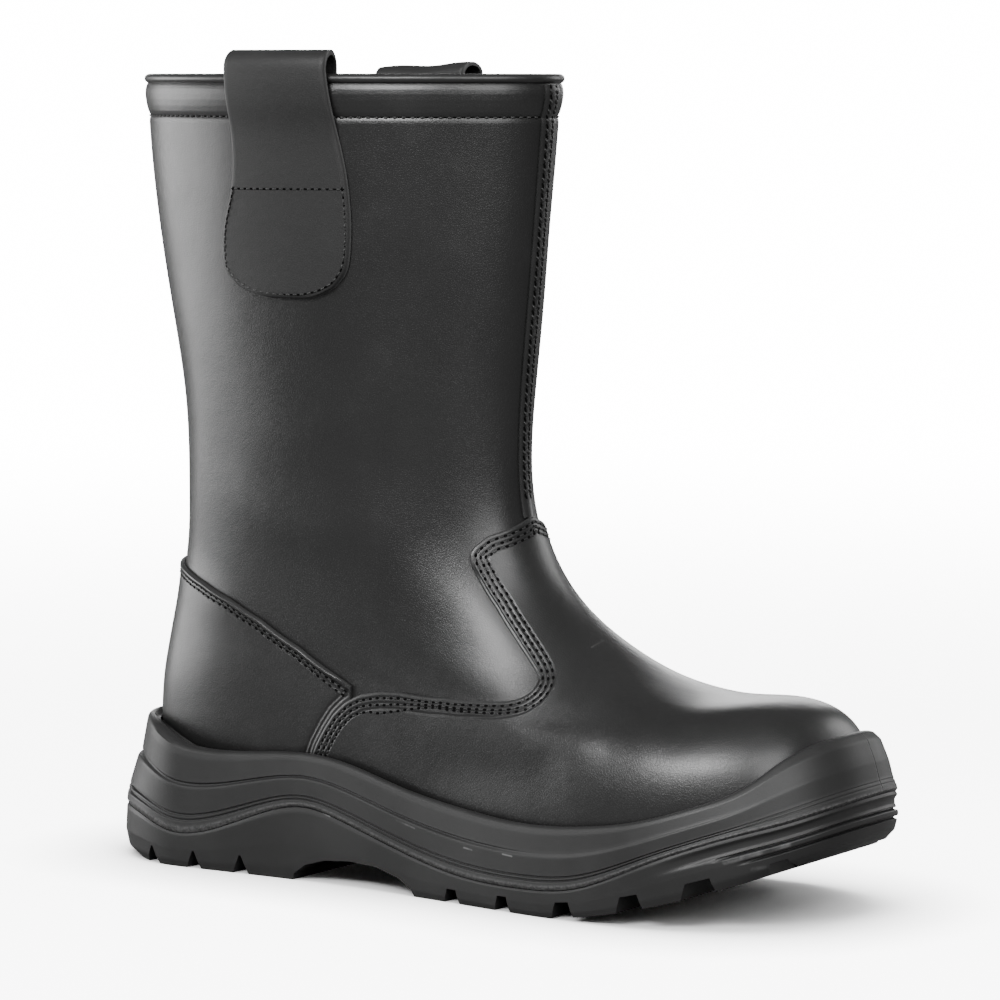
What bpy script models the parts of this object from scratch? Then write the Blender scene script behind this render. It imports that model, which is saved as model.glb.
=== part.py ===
"""Right rigger boot: a pull-on leather safety boot on a moulded two-layer sole.

Lengths are in millimetres and become metres when a mesh is made.
+X points to the toe, +Z is up, and the outer side of the foot is at -Y.
"""
import bpy
import bmesh
import numpy as np

MM = 0.001
GAP = 0.3
WALL = 2.2
OVERLAY = 1.6
CUP_CLEAR = 2.45
COLUMNS = 24
STATIONS = 44
INSOLE = 3.5

COLLAR_BAND_FROM = 15.5
BEAD_HALF_WIDE = 1.9
BEAD_HEIGHT = 2.7

FOOT_COLUMNS = ("x", "outer", "inner", "wide", "axis")
FOOT = (
    (-150, 31.5, 31.5, 52, 0.0),
    (-100, 31.5, 31.5, 50, 0.0),
    (-60, 31.5, 30.5, 44, 0.0),
    (-20, 33.5, 31.0, 38, 0.0),
    (20, 40.0, 36.5, 34, 1.0),
    (50, 46.0, 42.5, 32, 2.0),
    (80, 49.0, 44.8, 33, 3.0),
    (110, 46.8, 44.5, 37, 4.5),
    (150, 40.0, 43.0, 46, 6.5),
)
TOP_COLUMNS = ("x", "z")
TOP = (
    (-150, 334), (-60, 264), (0, 190), (14, 145), (20, 121), (34, 101.5),
    (54, 86), (75, 78), (98, 76), (120, 79), (150, 81),
)
DIP_COLUMNS = ("along", "z")
DIP = (
    (0, 0), (0.135, -3.0), (0.28, -1.8), (0.425, -5.4), (0.57, -12.0),
    (0.68, -15.7), (0.77, -15.3), (0.86, -11.3), (0.956, -4.6), (1, 0),
)
RING_COLUMNS = ("back_x", "back_z", "front_x", "front_z", "dip", "leg", "leg_half")
RINGS = (
    (-136.0, 31, 134.5, 32, 1.00, 0.00, 33),
    (-140.5, 40, 141.0, 41, 1.00, 0.00, 33),
    (-142.5, 50, 143.5, 52, 1.00, 0.00, 33),
    (-142.0, 60, 142.0, 63, 1.00, 0.00, 33),
    (-141.0, 69, 135.5, 71.5, 0.95, 0.00, 33),
    (-139.0, 78, 120.0, 74.5, 0.90, 0.05, 33),
    (-137.0, 87, 98.0, 73.0, 0.80, 0.15, 34),
    (-135.0, 97, 75.0, 76.0, 0.60, 0.30, 35),
    (-133.0, 108, 53.5, 86.0, 0.40, 0.50, 36),
    (-131.5, 120, 33.5, 101, 0.20, 0.75, 37),
    (-130.5, 135, 19.5, 121, 0.05, 0.92, 38),
    (-130.0, 154, 14.0, 145, 0.00, 1.00, 40),
    (-131.5, 179, 15.5, 175, 0.00, 1.00, 42),
    (-137.0, 209, 19.0, 207, 0.00, 1.00, 44),
    (-142.5, 239, 22.0, 239, 0.00, 1.00, 46.5),
    (-145.5, 266, 24.5, 266, 0.00, 1.00, 48.5),
    (-146.5, 289, 26.3, 289, 0.00, 1.00, 50),
)
TOE_FROM = 88.0
TOE_END = 151.0
HEEL_FROM = -92.0

UPPER_ROWS = (
    0, 0.6, 1.2, 2, 3, 3.8, 4.6, 5.4, 6.2, 7, 7.8, 8.6, 9.4, 10.2, 11, 12, 13, 14, 15,
    15.5, 15.56, 15.66, 15.78, 15.9, 16,
)
LINING_ROWS = (0, 1.2, 3, 3.8, 4.6, 5.4, 6.2, 7, 7.8, 8.6, 9.4, 10.2, 11, 13, 15, 16)
BAND_COLUMNS = ("row", "out")
BAND = (
    (15.5, 0.0), (15.56, 0.9), (15.66, 1.5), (15.78, 1.7), (15.9, 1.3), (16, 0.3),
)

SOLE_BACK = -155.0
SOLE_TIP = 155.0
SOLE_HEEL_FROM = -112.0
SOLE_TOE_FROM = 85.0
SPRING_FROM = 52.0
SPRING = 27.0
SOLE_COLUMNS = ("x", "outer", "inner", "rim", "part", "core")
SOLE = (
    (-155, 42.0, 42.0, 53.0, 18.5, 17.0),
    (-130, 42.0, 42.0, 51.0, 17.0, 16.0),
    (-114, 42.0, 42.0, 46.0, 12.8, 12.5),
    (-98, 41.8, 42.0, 44.2, 14.5, 14.0),
    (-74, 41.3, 41.5, 45.5, 23.0, 20.5),
    (-55, 41.3, 41.0, 46.3, 27.0, 23.5),
    (-35, 42.3, 40.8, 43.6, 23.0, 21.5),
    (-15, 44.0, 41.8, 38.5, 17.0, 17.0),
    (15, 48.6, 45.5, 33.6, 10.3, 10.3),
    (45, 54.0, 50.8, 31.4, 9.0, 9.0),
    (70, 57.0, 53.2, 33.0, 11.7, 10.0),
    (97, 57.5, 53.5, 37.8, 22.5, 14.0),
    (115, 56.0, 52.5, 43.5, 29.5, 18.5),
    (130, 55.5, 51.5, 50.0, 34.5, 23.5),
    (143, 55.0, 50.5, 59.0, 38.5, 28.0),
    (155, 55.0, 50.0, 64.5, 43.5, 32.5),
)
CORE_INSET = 7.0
WALL_COLUMNS = ("level", "back", "side", "toe")
MIDSOLE_WALL = (
    (0.00, -0.7, -0.5, -0.7),
    (0.04, 0.0, 0.0, 0.0),
    (0.10, -0.2, -0.1, -0.3),
    (0.13, -1.3, -0.5, -0.6),
    (0.17, -0.6, -0.2, -0.9),
    (0.21, -1.8, -0.7, -1.5),
    (0.25, -1.4, -0.3, -1.8),
    (0.52, -4.4, -0.8, -3.2),
    (0.57, -6.2, -1.9, -3.6),
    (0.62, -5.9, -1.3, -3.9),
    (0.88, -7.6, -2.2, -6.3),
    (0.97, -8.2, -2.8, -8.4),
    (1.00, -9.0, -3.6, -10.0),
)
OUTSOLE_WALL = (
    (0.00, -0.7, -0.5, -0.7),
    (0.06, 0.0, 0.0, 0.0),
    (0.17, 0.2, 0.0, 0.2),
    (0.21, 0.2, 0.0, -1.1),
    (0.26, 0.3, 0.0, 0.4),
    (0.45, 0.4, 0.0, 0.4),
    (0.50, 0.3, 0.0, -0.9),
    (0.55, 0.2, 0.0, 0.3),
    (0.82, -0.8, -0.2, -1.2),
    (1.00, -4.5, -0.8, -4.0),
)
ARCH_COLUMNS = ("x", "z")
ARCH = (
    (-61, -4), (-59, 2.5), (-54, 6.0), (-45, 8.6), (-33, 9.6),
    (-21, 8.8), (-11, 6.0), (-5, 2.5), (-2, -4),
)
NOTCH_COLUMNS = ("x", "foot", "head", "deep")
NOTCHES = (
    (-124, 7.0, 0.8, 6.5),
    (-104, 6.5, 0.8, 6.5),
    (-83, 7.0, 0.8, 6.8),
    (14, 7.0, 4.0, 5.0),
    (37.5, 7.0, 4.0, 5.5),
    (64, 9.0, 5.5, 5.5),
    (91, 10.0, 6.5, 5.5),
    (115, 11.5, 8.0, 5.5),
    (139, 7.0, 4.5, 4.5),
)
NOTCH_FROM = 17.0
CENTRE_NOTCHES = (
    (-114, 6.0, 3.0, 5.0),
    (-93.5, 6.0, 3.0, 5.0),
    (-73, 6.0, 3.0, 5.0),
    (2, 6.0, 3.0, 4.5),
    (26, 6.0, 3.0, 4.5),
    (50.5, 6.0, 3.0, 4.5),
    (77, 6.0, 3.0, 4.5),
    (103, 6.0, 3.0, 4.5),
)
CENTRE_HALF = 12.0

WING_COLUMNS = ("x", "z")
WING = (
    (-62, 0), (-59, 38), (-54.5, 49), (-50.5, 55.5), (-46.5, 61), (-41, 65.8), (-34.5, 69),
)
VAMP_TOP_COLUMNS = ("x", "z")
VAMP_TOP = (
    (-25, 70.9), (-16, 71.4), (3, 71.0), (17.5, 71.0), (29, 71.3), (34.6, 72.6),
    (38.2, 75.3), (38.6, 78.9), (36.5, 81.8), (31.6, 86.6), (25.3, 93.0), (17.3, 102.2),
    (10.6, 110.8), (6.4, 117.4), (5.4, 120.6), (6.2, 123.4), (10.5, 128.1), (15.9, 132.4),
    (22, 134.2), (40, 134.5),
)
COUNTER_TOP_COLUMNS = ("x", "z")
COUNTER_TOP = (
    (-160, 112.5), (-136, 112), (-127, 110), (-119, 107.6), (-108.5, 104.6), (-94.4, 99.8),
    (-79.6, 93.2), (-61.5, 83.9), (-47.9, 76.2),
)
SEAM_COLUMNS = ("column", "from_row", "to_row", "half", "proud")
FRONT_SEAM = (12, 10.62, 15.38, 0.36, 1.0)
BACK_SEAM = (0, 8.62, 15.38, 0.26, 1.3)

LOOP_COLUMNS = ("z", "back", "front")
LOOP = (
    (211.8, -64.5, -51.5),
    (213.2, -73.0, -44.5),
    (216.0, -80.0, -38.5),
    (220.0, -84.6, -34.8),
    (227.0, -86.4, -32.4),
    (238.0, -85.2, -31.4),
    (249.0, -81.4, -31.6),
    (259.0, -79.6, -32.6),
    (271.0, -79.4, -34.8),
    (292.0, -79.8, -37.4),
)
LOOP_THICK = 1.9
LOOP_ACROSS = 6
LOOP_PATH_COLUMNS = ("z", "stand_off")
LOOP_OUTSIDE = (
    (211.8, 0.35), (213.2, 0.35), (216, 0.35), (220, 0.35), (227, 0.35), (238, 0.35),
    (249, 0.35), (259, 0.35), (268, 0.5), (275, 1.2), (280, 2.1), (285, 2.6), (294.2, 2.9),
)
LOOP_INSIDE = ((294.2, 3.8), (286, 3.2), (278, 1.4), (270, 0.45), (258, 0.35), (248, 0.35))
LOOP_ARC = (30, 60, 90, 120, 150)

COLOUR_COLUMNS = ("red", "green", "blue", "roughness")
LEATHER = (0.022, 0.022, 0.023, 0.38)
STRAP_LEATHER = (0.018, 0.018, 0.019, 0.60)
SOLE_RUBBER = (0.026, 0.026, 0.027, 0.62)
LINING = (0.060, 0.060, 0.062, 0.85)


def smooth(rows, column=1):
    """Natural cubic spline of one column over the first, straight beyond its ends."""
    table = np.asarray(rows, float)
    xs = table[:, 0]
    ys = table[:, column]
    gap = np.diff(xs)
    count = len(xs)
    system = np.eye(count)
    right = np.zeros(count)
    for i in range(1, count - 1):
        system[i, i - 1:i + 2] = gap[i - 1], 2 * (gap[i - 1] + gap[i]), gap[i]
        right[i] = 6 * ((ys[i + 1] - ys[i]) / gap[i] - (ys[i] - ys[i - 1]) / gap[i - 1])
    bend = np.linalg.solve(system, right)

    def at(x):
        x = np.asarray(x, float)
        i = np.clip(np.searchsorted(xs, x) - 1, 0, count - 2)
        inside = np.clip(x, xs[0], xs[-1])
        before = inside - xs[i]
        after = xs[i + 1] - inside
        value = (bend[i] * after**3 + bend[i + 1] * before**3) / (6 * gap[i])
        value += (ys[i] / gap[i] - bend[i] * gap[i] / 6) * after
        value += (ys[i + 1] / gap[i] - bend[i + 1] * gap[i] / 6) * before
        slope = (ys[i + 1] - ys[i]) / gap[i]
        slope += np.where(x < xs[0], -gap[i] * bend[i + 1] / 6, gap[i] * bend[i] / 6)
        return value + (x - inside) * slope
    return at


def straight(rows, column=1):
    """Straight runs between the rows of a table."""
    table = np.asarray(rows, float)
    return lambda x: np.interp(x, table[:, 0], table[:, column])


def ease(start, end, x):
    """0 at start, 1 at end, with a soft run between them."""
    u = np.clip((np.asarray(x, float) - start) / (end - start), 0, 1)
    return u * u * (3 - 2 * u)


foot = {name: smooth(FOOT, k) for k, name in enumerate(FOOT_COLUMNS) if k}
sole = {name: smooth(SOLE, k) for k, name in enumerate(SOLE_COLUMNS) if k}
top_height = smooth(TOP)
dip_height = smooth(DIP)
band_out = straight(BAND)


def foot_half(x, z, back_x, side):
    """Half width of the foot part at a point of the side view."""
    wide = foot["wide"](x)
    rise = np.clip((z - wide) / np.maximum(top_height(x) - wide, 1), 0, 1)
    toe = np.clip((x - TOE_FROM) / (TOE_END - TOE_FROM), 0, 1)
    heel = np.clip((HEEL_FROM - x) / (HEEL_FROM - back_x), 0, 1)
    tuck = 6.0 * np.clip((wide - z) / 18.0, 0, 1.3)**2
    full = np.clip(1 - rise**2.4 - toe**2.5, 0, 1)**(1 / 2.4)
    return (foot[side](x) - tuck) * full * (1 - heel**2.3)**(1 / 2.3)


def cage_ring(row):
    """One ring of the cage, from the back along the outer side to the front and home."""
    size = dict(zip(RING_COLUMNS, row))
    half = COLUMNS // 2
    along = (1 - np.cos(np.pi * np.arange(half + 1) / half)) / 2
    x = size["back_x"] + (size["front_x"] - size["back_x"]) * along
    z = size["back_z"] + (size["front_z"] - size["back_z"]) * along
    z = z + size["dip"] * dip_height(along)
    centre = foot["axis"](x) * (1 - size["leg"])
    power = np.where(along < 0.5, 2.1, 1.9)
    leg_half = size["leg_half"] * (1 - np.abs(2 * along - 1)**power)**(1 / power)
    sides = []
    for side, sign in (("outer", -1), ("inner", 1)):
        y = (1 - size["leg"]) * foot_half(x, z, size["back_x"], side) + size["leg"] * leg_half
        y[0] = 0
        y[-1] = 0
        sides.append(np.stack([x, centre + sign * y, z], 1))
    return np.concatenate([sides[0], sides[1][-2:0:-1]])


CAGE = np.array([cage_ring(row) for row in RINGS])


def weights(f):
    """Uniform cubic spline weights of four neighbours."""
    return np.stack([(1 - f)**3, 3 * f**3 - 6 * f**2 + 4, 1 + 3 * f + 3 * f**2 - 3 * f**3, f**3]) / 6


def slopes(f):
    """Derivatives of the spline weights."""
    return np.stack([-(1 - f)**2, 3 * f**2 - 4 * f, 1 + 2 * f - 3 * f**2, f**2]) / 2


def surface(row, column, out=0.0):
    """Points of the boot's outer surface, moved outward by out along its normal."""
    row, column, out = np.broadcast_arrays(np.asarray(row, float), column, out)
    grid = np.concatenate([[2 * CAGE[0] - CAGE[1]], CAGE, [2 * CAGE[-1] - CAGE[-2]]])
    i = np.clip(np.floor(row).astype(int), 0, len(RINGS) - 2)
    j = np.floor(column).astype(int)
    w_row, s_row = weights(row - i), slopes(row - i)
    w_col, s_col = weights(column - j), slopes(column - j)
    point = np.zeros(row.shape + (3,))
    up = point.copy()
    round_ = point.copy()
    for a in range(4):
        for b in range(4):
            knot = grid[i + a, (j + b - 1) % COLUMNS]
            point += (w_row[a] * w_col[b])[..., None] * knot
            up += (s_row[a] * w_col[b])[..., None] * knot
            round_ += (w_row[a] * s_col[b])[..., None] * knot
    normal = np.cross(round_, up)
    normal /= np.linalg.norm(normal, axis=-1, keepdims=True)
    return point + out[..., None] * normal


def wall_point(row, column, out):
    """Like surface, but straight between the rows that the upper's wall is made of."""
    rows = np.array(UPPER_ROWS, float)
    k = np.clip(np.searchsorted(rows, row, side="right") - 1, 0, len(rows) - 2)
    share = ((row - rows[k]) / (rows[k + 1] - rows[k]))[..., None]
    return (1 - share) * surface(rows[k], column, out) + share * surface(rows[k + 1], column, out)


def columns_round():
    return np.arange(STATIONS) * COLUMNS / STATIONS


def surface_ring(row, out):
    return surface(np.full(STATIONS, float(row)), columns_round(), out)


def sole_loop():
    """Widest outline of the sole in plan, with its outward directions."""
    half = STATIONS // 2
    along = (1 - np.cos(np.pi * np.arange(half + 1) / half)) / 2
    x = SOLE_BACK + (SOLE_TIP - SOLE_BACK) * along
    heel = np.clip((SOLE_HEEL_FROM - x) / (SOLE_HEEL_FROM - SOLE_BACK), 0, 1)
    toe = np.clip((x - SOLE_TOE_FROM) / (SOLE_TIP - SOLE_TOE_FROM), 0, 1)
    ends = (1 - heel**2.1)**(1 / 2.1) * (1 - toe**2.5)**(1 / 2.5)
    axis = foot["axis"](x)
    outer = np.stack([x, axis - sole["outer"](x) * ends], 1)
    inner = np.stack([x, axis + sole["inner"](x) * ends], 1)
    loop = np.concatenate([outer, inner[-2:0:-1]])
    run = np.roll(loop, -1, 0) - np.roll(loop, 1, 0)
    away = np.stack([run[:, 1], -run[:, 0]], 1)
    return loop, away / np.linalg.norm(away, axis=1, keepdims=True)


PLAN, AWAY = sole_loop()


def sole_bottom(x):
    """Underside of the sole: flat, then rising into the toe spring."""
    u = np.clip((np.asarray(x, float) - SPRING_FROM) / (SOLE_TIP - SPRING_FROM), 0, 1)
    return SPRING * u**1.55


def sole_ring(out, z):
    """Plan outline moved outward by out, at heights z."""
    flat = PLAN + AWAY * np.broadcast_to(out, (STATIONS,))[:, None]
    return np.column_stack([flat, np.broadcast_to(z, (STATIONS,))])


def wall_rings(table, low, high):
    """Rings of a sole wall from its table, blended by how far each point faces back or toe."""
    x = PLAN[:, 0]
    back = ease(0, 0.8, -AWAY[:, 0]) * (x < SOLE_HEEL_FROM)
    toe = ease(0.2, 1, AWAY[:, 0]) * (x > SOLE_TOE_FROM)
    rings = []
    for level, at_back, at_side, at_toe in table:
        out = at_back * back + at_toe * toe + at_side * (1 - back - toe)
        rings.append(sole_ring(out, low + (high - low) * level))
    return rings


def solid_from(points, faces):
    """A mesh from millimetre points, with its faces turned outward."""
    mesh = bpy.data.meshes.new("solid")
    mesh.from_pydata((np.asarray(points, float) * MM).tolist(), [], faces)
    work = bmesh.new()
    work.from_mesh(mesh)
    bmesh.ops.triangulate(work, faces=work.faces, quad_method="FIXED")
    bmesh.ops.recalc_face_normals(work, faces=work.faces)
    work.to_mesh(mesh)
    work.free()
    return mesh


def ladder(start, count):
    """Faces that close a ring from side to side."""
    faces = []
    for j in range(count // 2):
        low, high = (count - j) % count, count - j - 1
        quad = [j, j + 1, high, low]
        corners = [start + k for n, k in enumerate(quad) if k not in quad[:n]]
        faces.append(corners)
    return faces


def lofted(rings, close=False, fold=1000):
    """Stacked rings with a ladder at each end, or joined end to end when close is set.

    From the ring fold on, the rings run back down, so their quads are listed from the next
    ring: facets of two layers then split along the same diagonal and stay parallel.
    """
    count = len(rings[0])
    points = np.concatenate(rings)
    faces = []
    total = len(rings)
    for k in range(total if close else total - 1):
        low = k * count
        high = (k + 1) % total * count
        if k >= fold:
            low, high = high, low
        for j in range(count):
            n = (j + 1) % count
            faces.append([low + j, low + n, high + n, high + j])
    if not close:
        faces += ladder(0, count)
        faces += ladder((total - 1) * count, count)
    return solid_from(points, faces)


def slab(inner, outer):
    """Two matching grids of points joined round their edges."""
    rows, cols = inner.shape[:2]
    points = np.concatenate([inner.reshape(-1, 3), outer.reshape(-1, 3)])
    shift = rows * cols
    faces = []
    for i in range(rows - 1):
        for j in range(cols - 1):
            a = i * cols + j
            quad = [a, a + 1, a + cols + 1, a + cols]
            faces.append(quad)
            faces.append([k + shift for k in quad])
    edge = [j for j in range(cols)]
    edge += [i * cols + cols - 1 for i in range(1, rows)]
    edge += [(rows - 1) * cols + j for j in range(cols - 2, -1, -1)]
    edge += [i * cols for i in range(rows - 2, 0, -1)]
    for n, a in enumerate(edge):
        b = edge[(n + 1) % len(edge)]
        faces.append([a, b, b + shift, a + shift])
    return solid_from(points, faces)


def prism(outline, y_from, y_to):
    """A side view outline run across the boot."""
    count = len(outline)
    points = [(x, y, z) for y in (y_from, y_to) for x, z in outline]
    faces = [list(range(count)), list(range(2 * count - 1, count - 1, -1))]
    for j in range(count):
        n = (j + 1) % count
        faces.append([j, n, n + count, j + count])
    return points, faces


def merged(parts):
    """Several prisms in one mesh."""
    points = []
    faces = []
    for part_points, part_faces in parts:
        start = len(points)
        points += part_points
        faces += [[k + start for k in face] for face in part_faces]
    return solid_from(points, faces)


def material(name, look):
    made = bpy.data.materials.new(name)
    made.use_nodes = True
    shader = made.node_tree.nodes["Principled BSDF"]
    shader.inputs["Base Color"].default_value = (*look[:3], 1)
    shader.inputs["Roughness"].default_value = look[3]
    return made


def place(name, mesh, look):
    """One named object with its own material."""
    made = bpy.data.objects.new(name, mesh)
    mesh.name = name
    mesh.materials.clear()
    mesh.materials.append(material(name + "_material", look))
    bpy.context.scene.collection.objects.link(made)
    return made


def combined(mesh, cutter_mesh, operation):
    """The mesh after one exact cut."""
    body = bpy.data.objects.new("body", mesh)
    cutter = bpy.data.objects.new("cutter", cutter_mesh)
    bpy.context.scene.collection.objects.link(body)
    bpy.context.scene.collection.objects.link(cutter)
    step = body.modifiers.new("cut", "BOOLEAN")
    step.operation = operation
    step.solver = "EXACT"
    step.object = cutter
    bpy.context.view_layer.update()
    shown = body.evaluated_get(bpy.context.evaluated_depsgraph_get())
    result = bpy.data.meshes.new_from_object(shown)
    bpy.data.objects.remove(body)
    bpy.data.objects.remove(cutter)
    work = bmesh.new()
    work.from_mesh(result)
    bmesh.ops.remove_doubles(work, verts=work.verts, dist=0.00002)
    bmesh.ops.dissolve_degenerate(work, edges=work.edges, dist=0.00001)
    bmesh.ops.triangulate(work, faces=work.faces)
    work.to_mesh(result)
    work.free()
    return result


def make_outsole():
    x = PLAN[:, 0]
    part = sole["part"](x)
    rings = [sole_ring(-CORE_INSET, sole["core"](x))]
    rings += wall_rings(OUTSOLE_WALL, part, sole_bottom(x))
    body = lofted(rings)
    cuts = [prism(ARCH, -80, 80)]
    for table, spans in ((NOTCHES, ((-80, -NOTCH_FROM), (NOTCH_FROM, 80))),
                         (CENTRE_NOTCHES, ((-CENTRE_HALF, CENTRE_HALF),))):
        for middle, wide, head, deep in table:
            xs = np.array((-wide, -wide, -head, head, wide, wide)) / 2 + middle
            lift = np.array((-6, 0, deep, deep, 0, -6))
            outline = list(zip(xs, sole_bottom(xs) + lift))
            cuts += [prism(outline, start, end) for start, end in spans]
    return combined(body, merged(cuts), "DIFFERENCE")


def rim_rows():
    """Row of the upper at the height of the cup's rim, station by station."""
    rows = np.linspace(0, 5, 251)
    round_ = columns_round()
    rim = sole["rim"](PLAN[:, 0])
    found = []
    for k in range(STATIONS):
        heights = surface(rows, np.full(len(rows), round_[k]), CUP_CLEAR)[:, 2]
        found.append(np.interp(rim[k], heights, rows))
    return np.array(found)


def make_midsole():
    x = PLAN[:, 0]
    rings = [sole_ring(-CORE_INSET - GAP, sole["core"](x) + GAP)]
    rings += wall_rings(MIDSOLE_WALL, sole["part"](x) + GAP, sole["rim"](x))
    fold = len(rings)
    rim = rim_rows()
    for share in np.linspace(1, 0, 8):
        ring = surface(rim * share, columns_round(), CUP_CLEAR)
        if share == 1:
            ring[:, 2] = sole["rim"](x)
        if share == 0:
            ring[:, 2] = surface_ring(0, 0)[:, 2] - GAP
        rings.append(ring)
    return lofted(rings, fold=fold)


def make_upper():
    outside = [surface_ring(row, float(band_out(row)) if row > COLLAR_BAND_FROM else 0.0)
               for row in UPPER_ROWS]
    inside = [surface_ring(row, -WALL) for row in LINING_ROWS]
    floor = surface_ring(0, 0)[:, 2]
    inside[0][:, 2] = floor
    inside[-1][:, 2] = outside[-1][:, 2]
    return lofted(outside + inside[::-1], close=True, fold=len(outside))


def make_insole():
    edge = surface_ring(0, -WALL - 0.6)
    bed = surface_ring(0, 0)[:, 2]
    low = np.column_stack([edge[:, :2], bed])
    high = np.column_stack([edge[:, :2], bed + INSOLE])
    return lofted([low, high])


def make_bead():
    """Round piping that sits on the top edge of the wall."""
    rim = surface_ring(16, 0)
    out = surface_ring(16, 1) - rim
    out[:, 2] = 0
    out /= np.linalg.norm(out, axis=1, keepdims=True)
    middle = rim - out * WALL / 2
    rings = []
    for angle in np.radians(np.arange(6) * 60 + 30):
        ring = middle + out * BEAD_HALF_WIDE * np.cos(angle)
        ring[:, 2] += GAP + BEAD_HEIGHT / 2 * (1 + np.sin(angle))
        rings.append(ring)
    return lofted(rings, close=True)


def make_overlay(outline):
    """A panel cut from the layer that lies on the wall."""
    rows = [row for row in UPPER_ROWS if 0.1 < row < 11.5]
    outside = [surface_ring(row, GAP + OVERLAY) for row in rows]
    inside = [surface_ring(row, GAP) for row in rows]
    layer = lofted(outside + inside[::-1], close=True, fold=len(outside))
    return combined(layer, merged([prism(outline, -90, 90)]), "INTERSECT")


def make_vamp():
    wing = [(x + GAP / 2, z) for x, z in WING]
    return make_overlay(wing + list(VAMP_TOP) + [(180, 134.5), (180, 0)])


def make_counter():
    wing = [(x - GAP / 2, z) for x, z in WING]
    return make_overlay(wing + list(COUNTER_TOP)[::-1] + [(-160, 0)])


def make_seam(seam):
    """A narrow raised strip up the middle of the leg."""
    middle, start, end, half, proud = seam
    rows = [start] + [row for row in UPPER_ROWS if start + 0.1 < row < end - 0.1] + [end]
    across = np.linspace(-half, half, 5)
    row, column = np.meshgrid(rows, middle + across, indexing="ij")
    crown = proud * np.cos(np.broadcast_to(across / half, row.shape) * np.pi / 3)
    return slab(wall_point(row, column, GAP + 0.05), wall_point(row, column, GAP + crown))


def leg_points(heights, shares, left, right, stand_off, side):
    """Points beside the leg at given heights, spread between two lengthwise limits."""
    rows = np.linspace(12.5, 16, 141)
    around = np.linspace(3.5, 8.5, 61)
    grid = surface(rows[:, None], np.broadcast_to(around, (141, 61)))
    points = []
    for z, a, b, off in zip(heights, left, right, stand_off):
        line = np.array([[np.interp(min(z, 289), grid[:, k, 2], grid[:, k, n]) for n in (0, 1)]
                         for k in range(len(around))])
        x = a + (b - a) * shares
        column = np.interp(x, line[:, 0], around)
        row = np.interp(min(z, 289), grid[:, 30, 2], rows)
        spot = surface(np.full(len(x), row), column)
        out = surface(np.full(len(x), row), column, 1.0) - spot
        out[:, 2] = 0
        out /= np.linalg.norm(out, axis=1, keepdims=True)
        spot = spot + out * off
        spot[:, 2] = z
        spot[:, 1] *= side
        points.append(spot)
    return np.array(points)


def make_loop(side):
    """Pull loop: up the outside of the leg, over the bead and down inside."""
    shares = np.linspace(0, 1, LOOP_ACROSS)
    back = straight(LOOP, 1)
    front = straight(LOOP, 2)
    outside = np.array(LOOP_OUTSIDE)
    inside = np.array(LOOP_INSIDE)
    centre = (outside[-1, 1] - WALL - inside[0, 1]) / 2
    radius = (outside[-1, 1] + WALL + inside[0, 1]) / 2
    turn = np.radians(LOOP_ARC)
    faces = []
    for extra in (0.0, LOOP_THICK):
        z = np.concatenate([outside[:, 0], 294.2 + (radius + extra) * np.sin(turn), inside[:, 0]])
        off = np.concatenate([outside[:, 1] + extra, centre + (radius + extra) * np.cos(turn),
                              -WALL - inside[:, 1] - extra])
        flat = np.concatenate([outside[:, 0], np.full(len(turn) + len(inside), 292.0)])
        faces.append(leg_points(z, shares, back(flat), front(flat), off, side))
    return slab(faces[0], faces[1])


def build():
    for old in list(bpy.data.objects):
        bpy.data.objects.remove(old)
    pieces = (
        ("outsole", make_outsole, SOLE_RUBBER),
        ("midsole", make_midsole, SOLE_RUBBER),
        ("insole", make_insole, LINING),
        ("upper", make_upper, LEATHER),
        ("vamp", make_vamp, LEATHER),
        ("heel_counter", make_counter, LEATHER),
        ("front_seam", lambda: make_seam(FRONT_SEAM), LEATHER),
        ("back_seam", lambda: make_seam(BACK_SEAM), LEATHER),
        ("collar_bead", make_bead, LEATHER),
        ("pull_loop_outer", lambda: make_loop(1), STRAP_LEATHER),
        ("pull_loop_inner", lambda: make_loop(-1), STRAP_LEATHER),
    )
    made = [place(name, make(), look) for name, make, look in pieces]
    points = np.array([v.co for piece in made for v in piece.data.vertices])
    shift = -(points.min(0) + points.max(0)) / 2
    for piece in made:
        for vertex in piece.data.vertices:
            vertex.co.x += shift[0]
            vertex.co.y += shift[1]


build()
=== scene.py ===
"""Looks of the right rigger boot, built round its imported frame.

Lengths are in millimetres and become metres when a mesh is made. +X points to the toe,
+Z is up and the outer side of the foot is at -Y. The tables repeat the part's own forms.
"""
import bpy
import bmesh
import numpy as np
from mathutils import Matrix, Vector
from mathutils.kdtree import KDTree


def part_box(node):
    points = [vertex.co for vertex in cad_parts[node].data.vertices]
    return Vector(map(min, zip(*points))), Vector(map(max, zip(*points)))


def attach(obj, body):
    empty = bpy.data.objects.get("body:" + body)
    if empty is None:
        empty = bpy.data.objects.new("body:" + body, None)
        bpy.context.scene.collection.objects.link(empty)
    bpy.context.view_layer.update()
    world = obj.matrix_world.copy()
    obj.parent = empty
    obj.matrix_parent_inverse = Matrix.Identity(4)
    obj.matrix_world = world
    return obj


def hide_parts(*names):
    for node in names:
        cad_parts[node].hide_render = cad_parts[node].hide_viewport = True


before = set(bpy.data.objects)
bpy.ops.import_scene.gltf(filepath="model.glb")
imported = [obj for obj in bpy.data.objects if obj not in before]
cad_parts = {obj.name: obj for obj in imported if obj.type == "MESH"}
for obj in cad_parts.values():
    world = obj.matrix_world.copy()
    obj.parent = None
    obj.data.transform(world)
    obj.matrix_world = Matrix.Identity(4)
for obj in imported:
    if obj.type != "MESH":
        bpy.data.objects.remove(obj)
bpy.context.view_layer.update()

MM = 0.001
BODY = "root"
bead_low, bead_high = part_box("collar_bead")
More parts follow.
